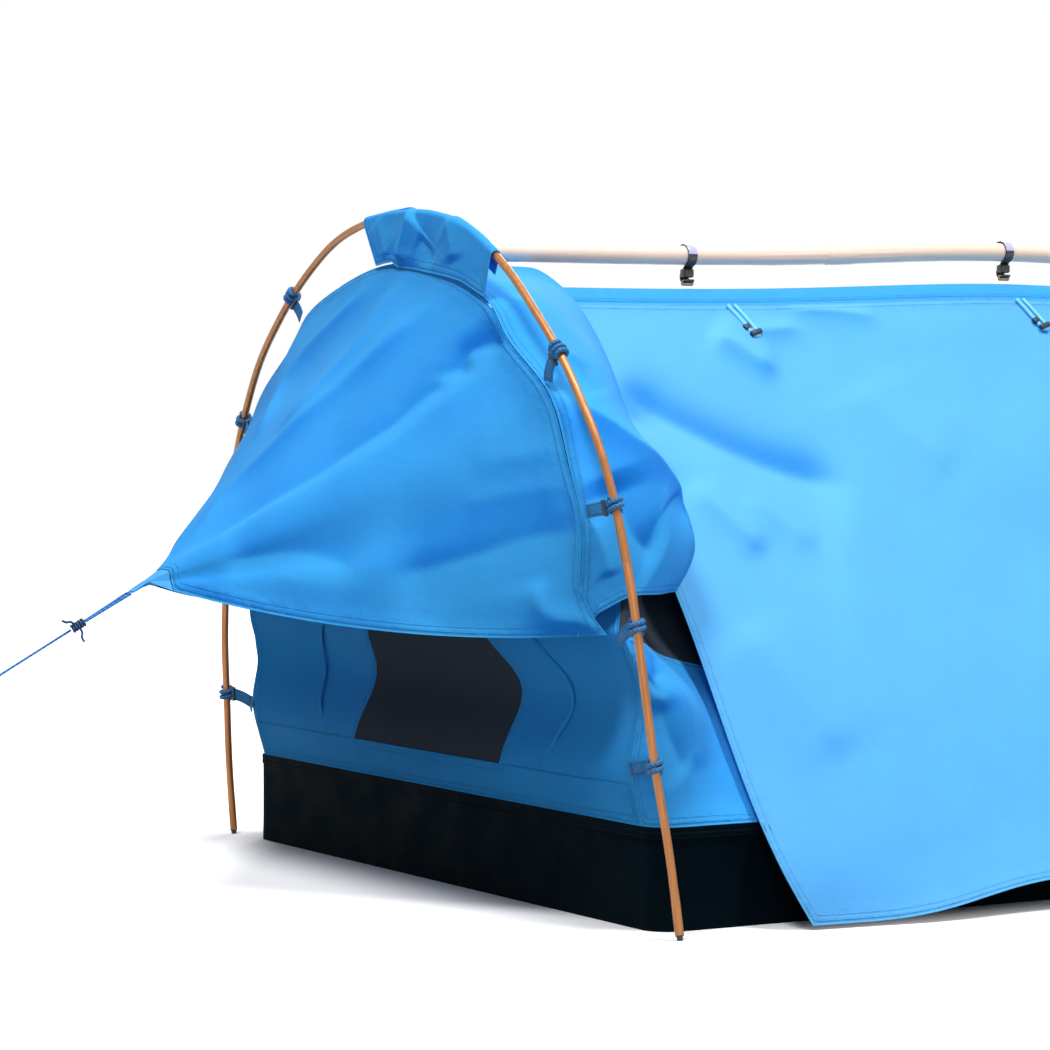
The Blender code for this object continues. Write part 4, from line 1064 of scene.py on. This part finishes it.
# %% Make the walls and their mesh
def sag_veil(made):
    """Lets a side mesh hang in a little between its seams, clear of the fly outside it."""
    places, normals = arrays(made)
    sag, reach = 0.022, 0.12
    share = np.clip(edge_values(made) / reach, 0, 1)
    store(made, places - normals * (sag * share * (2 - share))[:, None])


for end, forward in (("front", -1), ("rear", 1)):
    wall = f"{end}_wall"
    make_cloth(
        wall, (0, forward, 0), crosswise, finish=wall_canvas, swell=0.004, size=0.15,
    )
    make_cloth(
        f"{end}_window_mesh", (0, forward, 0), crosswise, finish=insect_mesh,
        thickness=mesh_thickness,
    )
for side, out, folds in (("near", 1, side_folds), ("far", -1, mirrored(side_folds, other_side))):
    wall = f"{side}_side_wall"
    make_cloth(
        wall, (out, 0, 0), folds=folds, swell=0.006, size=0.14, quiet=0.04, fold_limit=70,
    )
    make_cloth(
        f"{side}_side_mesh", (out, 0, 0.3), finish=insect_mesh, thickness=mesh_thickness,
        fold_limit=70, shape=sag_veil,
    )

# %% [markdown]
# ## Hoops, ridge pole, hooks and other hard pieces
# Every tube is rounded, and every moulded piece has its edges eased. A hook is dark, with a pale
# lilac highlight painted on its top, and the curl at its foot holds a boss.

# %% Refine the hard pieces
upright = ((1, 0, 0), (0, 1, 0), (0, 0, 1))
highlight_depth, curl_height, boss_lift = 0.0165, 0.024, 0.0155
for end in ("front", "rear"):
    for part in ("crown", "near_leg", "far_leg"):
        refined(f"{end}_hoop_{part}", bronze, levels=2, grow=0.0005)
    for side in ("near", "far"):
        refined(f"{end}_hoop_{side}_foot", black_plastic, levels=1)
    refined(f"{end}_pole_cup", black_plastic, easing=0.0008)
    refined(f"ridge_ferrule_{end}", pale_tube, levels=1, grow=0.0003)
for part in ("front", "middle", "rear"):
    refined(f"ridge_pole_{part}", pale_tube, levels=2, grow=0.0006)
    hook = refined(f"ridge_hook_{part}", hook_plastic, f"{part}_hook", easing=0.0007)
    # A painted highlight: the top faces that look up or toward the lamps' side take the pale lilac plastic.
    hook.data.materials.append(hook_highlight_plastic)
    top = max(vertex.co.z for vertex in hook.data.vertices)
    for face in hook.data.polygons:
        if face.center.z > top - highlight_depth and (face.normal.z > 0.1 or face.normal.x > 0.35):
            face.material_index = 1
    spots, _ = arrays(hook)
    curl = spots[spots[:, 2] < spots[:, 2].min() + curl_height]
    curl_low, curl_high = curl.min(0), curl.max(0)
    middle = (curl_high + curl_low) / 2
    boss = eased_block(
        f"hook_boss_{part}", ((curl_high - curl_low)[0] * 0.92, 0.0162, 0.0135),
        Vector((middle[0], middle[1], curl_low[2] + boss_lift)), upright, hook_plastic, 0.0034,
    )
    joined(hook, boss)
    refined(f"ridge_ring_{part}", tan_tape, f"{part}_hook", levels=2, grow=0.0002)
refined("awning_strap", loop_weave, levels=1)
for side in ("near", "far"):
    refined(f"{side}_zip_slider", black_plastic, f"{side}_slider", easing=0.0006)

# %% [markdown]
# ## Ties
# Short tapes hold the canvas to the hoops. Each tape is sewn into the canvas, runs through a
# small black keeper, and is lashed to the tube with two and a half turns of cord. A tie is made
# once as a recipe and laid between the places that a table gives: on the hoop, along it, and on
# the canvas. The rear hoop has the same eight, seen in a mirror.

# %% Make the sixteen ties
tube_radius, cord_radius = 0.0055, 0.0034
tape_outline, keeper_size = flat_outline(0.0185, 0.0017), (0.0055, 0.0215, 0.0062)
tie_places = {
    "front_near_tie_1": ((0.4436, -1.0659, 0.742), (-0.711, -0.0218, 0.7028), (0.4266, -1.0715, 0.702)),
    "front_near_tie_2": ((0.5677, -1.056, 0.545), (-0.3237, -0.0411, 0.9453), (0.5353, -1.0781, 0.5363)),
    "front_near_tie_3": ((0.6064, -1.0478, 0.392), (-0.1711, -0.0616, 0.9833), (0.5479, -1.0378, 0.3711)),
    "front_near_tie_4": ((0.6292, -1.0351, 0.217), (-0.15, -0.1015, 0.9835), (0.5806, -1.0162, 0.212)),
    "front_far_tie_1": ((-0.3346, -1.0661, 0.835), (0.7977, 0.0246, 0.6026), (-0.2962, -1.0715, 0.8036)),
    "front_far_tie_2": ((-0.5145, -1.061, 0.65), (0.5625, -0.0547, 0.825), (-0.4783, -1.0742, 0.6226)),
    "front_far_tie_3": ((-0.6015, -1.0495, 0.42), (0.1711, -0.0616, 0.9833), (-0.5487, -1.0376, 0.3666)),
    "front_far_tie_4": ((-0.6284, -1.0358, 0.224), (0.099, -0.0981, 0.9902), (-0.5806, -1.0162, 0.2119)),
}


def make_tie(name, node, centre, upward, anchor, sewn=None):
    """Tape, keeper and lashing between a hoop and the canvas; some tapes lie on along the canvas."""
    centre, upward, anchor = Vector(centre), Vector(upward).normalized(), Vector(anchor)
    toward = anchor - centre
    flat = toward - upward * toward.dot(upward)
    reach, slip, one = flat.length, toward.dot(upward), flat.normalized()
    two = upward.cross(one)
    start = tube_radius + 2 * cord_radius - 0.0015
    line = []
    for share in (0, 0.12, 0.3, 0.5, 0.7, 0.88, 1):
        far = start + (reach - start) * share
        sag = 0.0022 * math.sin(math.pi * share)
        line.append(centre + one * far + upward * slip * share**1.4 + two * sag)
    if sewn:
        line.append(Vector(sewn))
    made = swept(name, smooth_line(line, 3), tape_weave, tape_outline, tuple(two))
    keeper = eased_block(
        name + "_keeper", keeper_size, centre + one * (start + 0.0042), (one, upward, one.cross(upward)),
        keeper_plastic, 0.0012,
    )
    lashing = coil_line(centre, upward, tube_radius + cord_radius, 0.0078, 2.6)
    tucked = 6
    for at in range(tucked):
        for spot in (lashing[at], lashing[-1 - at]):
            axis = centre + upward * (spot - centre).dot(upward)
            spot += (axis - spot) * 0.75 * (1 - at / tucked) ** 2
    cord = swept(name + "_lashing", lashing, wound_cord, round_outline(cord_radius, 9), tuple(upward))
    joined(made, keeper, cord)
    return hang(made, node, "shelter")


sewn_ends = {"front_near_tie_4": (0.556, -1.0265, 0.207), "front_far_tie_4": (-0.556, -1.0265, 0.207)}
for node, places in tie_places.items():
    places = [Vector(p) for p in (*places, *([sewn_ends[node]] if node in sewn_ends else []))]
    make_tie(node + "_sewn", node, *places)
    make_tie(node.replace("front", "rear") + "_sewn", None, *[Vector((p.x, -p.y, p.z)) for p in places])
print("ties:", 2 * len(tie_places))

# %% [markdown]
# ## Loops for the rolled fly
# When the fly is rolled up, cord loops hold the roll. Each has two strands sewn under the
# ridge band and ends in a dark moulded toggle, with a small stop above it.

# %% Round the loops and add their toggles
for place in ("front", "middle"):
    node = f"near_tie_loop_{place}"
    loop = refined(node, bright_weave, "near_fly", levels=2, grow=0.0008)
    spots, _ = arrays(loop)
    lowest, highest = spots[:, 2].min(), spots[:, 2].max()
    centre = Vector(spots[spots[:, 2] < lowest + 0.008].mean(0))
    down = (centre - Vector(spots[spots[:, 2] > highest - 0.008].mean(0))).normalized()
    across = down.cross(Vector((0.79, 0, 0.61))).normalized()
    out = across.cross(down)
    turned = (down, across, down.cross(across))
    toggle_place = centre - down * 0.003 + out * 0.0035
    stop_place = centre - down * 0.018 + across * 0.005 + out * 0.001
    toggle = eased_block(node + "_toggle", (0.0085, 0.022, 0.0075), toggle_place, turned, keeper_plastic, 0.0028)
    stop = eased_block(node + "_stop", (0.01, 0.012, 0.0065), stop_place, turned, keeper_plastic, 0.0024)
    joined(loop, toggle, stop)
print("loops: 2, each with its toggle")

# %% [markdown]
# ## The tub
# The tub is one sheet of heavy tarpaulin, folded up at the sides and welded at the corners,
# with a hem round its rim. It starts as a box. Its upright edges are bevelled into corners, its
# lid is deleted, the walls are cut into a grid that can sag a little, the hem is drawn out from
# the faces of the top row, and the skin gets its thickness last.

# %% Make the tub
def select_where(made, kind, test):
    """Opens a piece with the faces or edges selected whose middle and direction pass a test."""
    for parts in (made.data.vertices, made.data.edges, made.data.polygons):
        for part in parts:
            part.select = False
    bpy.ops.object.mode_set(mode="EDIT")
    bpy.ops.mesh.select_mode(type=kind)
    close()
    for part in made.data.polygons if kind == "FACE" else made.data.edges:
        corners = [made.data.vertices[at].co for at in part.vertices]
        middle = sum(corners, Vector()) / len(corners)
        way = part.normal if kind == "FACE" else (corners[1] - corners[0]).normalized()
        part.select = bool(test(middle, way))
    bpy.ops.object.mode_set(mode="EDIT")


tub_low, tub_high = (Vector(c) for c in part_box("pvc_tub"))
tub_size = tub_high - tub_low
hem_foot, hem_seam, corner, cell = 0.1185, 0.117, 0.036, 0.083
bulge, slump, patch = 0.0045, 0.0012, 0.22
tub = open_cube("tarpaulin_tub")
bpy.ops.transform.resize(value=tuple(tub_size), center_override=(0, 0, 0))
bpy.ops.transform.translate(value=tuple((tub_low + tub_high) / 2))
close()
select_where(tub, "EDGE", lambda middle, way: abs(way.z) > 0.9)
bpy.ops.mesh.bevel(offset=corner, segments=6, affect="EDGES")
close()
select_where(tub, "FACE", lambda middle, way: way.z > 0.9)
bpy.ops.mesh.delete(type="FACE")
cuts = [((0, 0, height), (0, 0, 1)) for height in (0.008, 0.04, 0.075, 0.104, hem_seam, hem_foot)]
cuts += [((0, step * cell, 0), (0, 1, 0)) for step in range(-11, 12)]
cuts += [((step * cell, 0, 0), (1, 0, 0)) for step in range(-6, 7)]
for place, across in cuts:
    bpy.ops.mesh.select_all(action="SELECT")
    bpy.ops.mesh.bisect(plane_co=place, plane_no=across)
close()
select_where(tub, "FACE", lambda middle, way: middle.z > hem_foot and abs(way.z) < 0.3)
bpy.ops.mesh.extrude_region_shrink_fatten(TRANSFORM_OT_shrink_fatten={"value": 0.0011})
close()
for vertex in tub.data.vertices:
    spot = vertex.co
    share = math.sin(math.pi * (spot.z / tub_size.z)) ** 0.7 if 0 < spot.z < hem_seam else 0.0
    push = bulge * share * noise.noise(Vector((spot.x, spot.y, spot.z * 0.6)) / patch + Vector((4, 9, 2)))
    flat = Vector((spot.x / tub_size.x, spot.y / tub_size.y, 0))
    way = Vector((math.copysign(1, flat.x), 0, 0))
    if abs(flat.x) <= abs(flat.y):
        way = Vector((0, math.copysign(1, flat.y), 0))
    spot += way * (push - slump * share)
edit_all()
bpy.ops.mesh.normals_make_consistent(inside=False)
bpy.ops.uv.cube_project(cube_size=1.0)
close()
spots, _ = arrays(tub)
keep_values(tub, "edge", tub_high.z - spots[:, 2])
keep_values(tub, "run", spots[:, 0] + spots[:, 1])
thicken(tub, 0.002, tarpaulin, 40)
hang(tub, "pvc_tub", "shelter")
print("tub:", len(tub.data.polygons), "faces")

# %% [markdown]
# ## The mattress
# A foam mattress fills the tub. Its cover is stretched over the foam and swells between its
# edges. Foam in a cover is what cloth with pressure inside does, so the slab is remeshed, blown
# up for twenty frames with each point held to a few millimetres, and then made finer.

# %% Pad the mattress
slab_low, slab_high = (Vector(c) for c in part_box("mattress"))
mattress = open_copy("mattress", "mattress_cover", 0.0001, ticking)
bpy.ops.transform.resize(value=(0.988, 0.993, 0.8), center_override=tuple((slab_low + slab_high) / 2))
bpy.ops.transform.translate(value=(0, 0, -0.1 * (slab_high.z - slab_low.z) + 0.001))
close()
remesh = mattress.modifiers.new("even", "REMESH")
remesh.mode, remesh.voxel_size = "VOXEL", 0.02
apply_all(mattress)
frames, farthest, under_side = 20, 0.009, 0.012
before, _ = arrays(mattress)
cover = mattress.modifiers.new("cover", "CLOTH")
cover.settings.use_pressure = True
cover.settings.uniform_pressure_force = 4
cover.settings.effector_weights.gravity = 0
cover.point_cache.frame_end = frames
for frame_number in range(1, frames + 1):
    bpy.context.scene.frame_set(frame_number)
apply_all(mattress)
bpy.context.scene.frame_set(1)
after, _ = arrays(mattress)
move = after - before
far = np.linalg.norm(move, axis=1, keepdims=True)
move *= np.minimum(1, farthest / np.maximum(far, 1e-9))
move[before[:, 2] < slab_low.z + under_side, 2] *= 0.1
store(mattress, before + move)
finer_grid(mattress, 1)
apply_all(mattress)
mattress.data.shade_smooth()
hang(mattress, "mattress", "shelter")
top = max(vertex.co.z for vertex in mattress.data.vertices)
print("mattress:", len(mattress.data.polygons), "quads, top at", round(top, 4))

# %% [markdown]
# ## Tape round the windows
# The window's raw edge is bound with a strip that is sewn on a little way out from it. The
# strip follows the window's bowed side and stands a millimetre and a half proud.

# %% Sew the strips on
strip_places = [
    (0.312, -1.026, 0.362), (0.337, -1.01, 0.337), (0.362, -0.999, 0.305), (0.364, -1.001, 0.27),
    (0.352, -1.01, 0.235), (0.32, -1.025, 0.19),
]
strip_outline = flat_outline(0.007, 0.0014)
for end, turn in (("front", 1), ("rear", -1)):
    wall_spots = search_tree([vertex.co for vertex in bpy.data.objects[f"{end}_wall_canvas"].data.vertices])
    for name, side in (("near", 1), ("far", -1)):
        line = []
        for x, y, z in strip_places:
            found = [spot for spot, _, _ in wall_spots.find_n(Vector((x * side, y * turn, z)), 12)]
            line.append((x * side, min(found, key=lambda spot: spot.y * turn).y, z))
        strip = swept(
            f"{end}_window_strip_{name}", smooth_line(line, 6), wall_canvas, strip_outline, (0, -turn, 0),
        )
        hang(strip, None, "shelter")

# %% [markdown]
# ## Studio
# A pale floor and soft light. The floor and sky look white to the camera and in mirrored light,
# but not to the soft light that they send back, so the object is not lit more than it should be.

# %% Make the floor and the sky
def seen_as_white():
    """One where the camera looks, or where metal and glass mirror, and nought for other light."""
    rays = add("LightPath").outputs
    return most(most(rays["Is Camera Ray"], rays["Is Glossy Ray"]), rays["Is Transmission Ray"])


bpy.ops.mesh.primitive_plane_add(size=60)
floor = bpy.context.object
floor.name = "floor"
pale, shader = new_finish("pale_floor")
seen = seen_as_white()
floor_x, floor_y, _ = split(object_place())
past = [most(minus(maths("ABSOLUTE", way), half), 0.0) for way, half in ((floor_x, 0.59), (floor_y, 1.0))]
reach = maths("SQRT", plus(*(power(far, 2.0) for far in past)))
glow = plus(ramp(reach, 0.0, 0.2, 0.0, 0.72), ramp(reach, 1.2, 4.0, 0.0, 0.28))
give(
    shader, Base_Color=blend_colour(seen, (0.36, 0.36, 0.36), (0.9, 0.9, 0.9)), Emission_Color=(1, 1, 1, 1),
    Emission_Strength=times(glow, seen), Roughness=0.9, Specular_IOR_Level=0.0,
)
floor.data.materials.append(pale)

world = bpy.data.worlds.new("soft_sky")
bpy.context.scene.world = world
world.use_nodes = True
tree = world.node_tree
sky = tree.nodes["Background"]
give(sky, Color=(0.92, 0.96, 1, 1), Strength=0.22)
bright = add("Background", Color=(1, 1, 1, 1), Strength=1.0).outputs[0]
mixed = add("MixShader", i0=seen_as_white(), i1=sky.outputs[0], i2=bright).outputs[0]
give(tree.nodes["World Output"], Surface=mixed)
print("floor and sky are white to the camera")

# %% Light the swag
def lamp(name, place, aim, size, watts):
    """A round lamp that faces a place."""
    bpy.ops.object.light_add(type="AREA", location=place)
    made = bpy.context.object
    made.name = name
    made.data.shape = "DISK"
    made.data.size = size
    made.data.energy = watts
    made.rotation_euler = (Vector(aim) - Vector(place)).to_track_quat("-Z", "Y").to_euler()


lamp("key_lamp", (2.43, 0.5, 6.15), (0, -0.4, 0.3), 1.5, 272)
lamp("front_lamp", (1.5, -3.2, 6.2), (0, -0.6, 0.4), 1.5, 240)
lamp("side_fill", (5.5, -3.0, 1.6), (0, -0.6, 0.4), 2.5, 45)
lamp("far_fill", (-4.6, 3.4, 3.2), (0, 0, 0.4), 2.5, 110)
bpy.context.scene.view_settings.view_transform = "Standard"
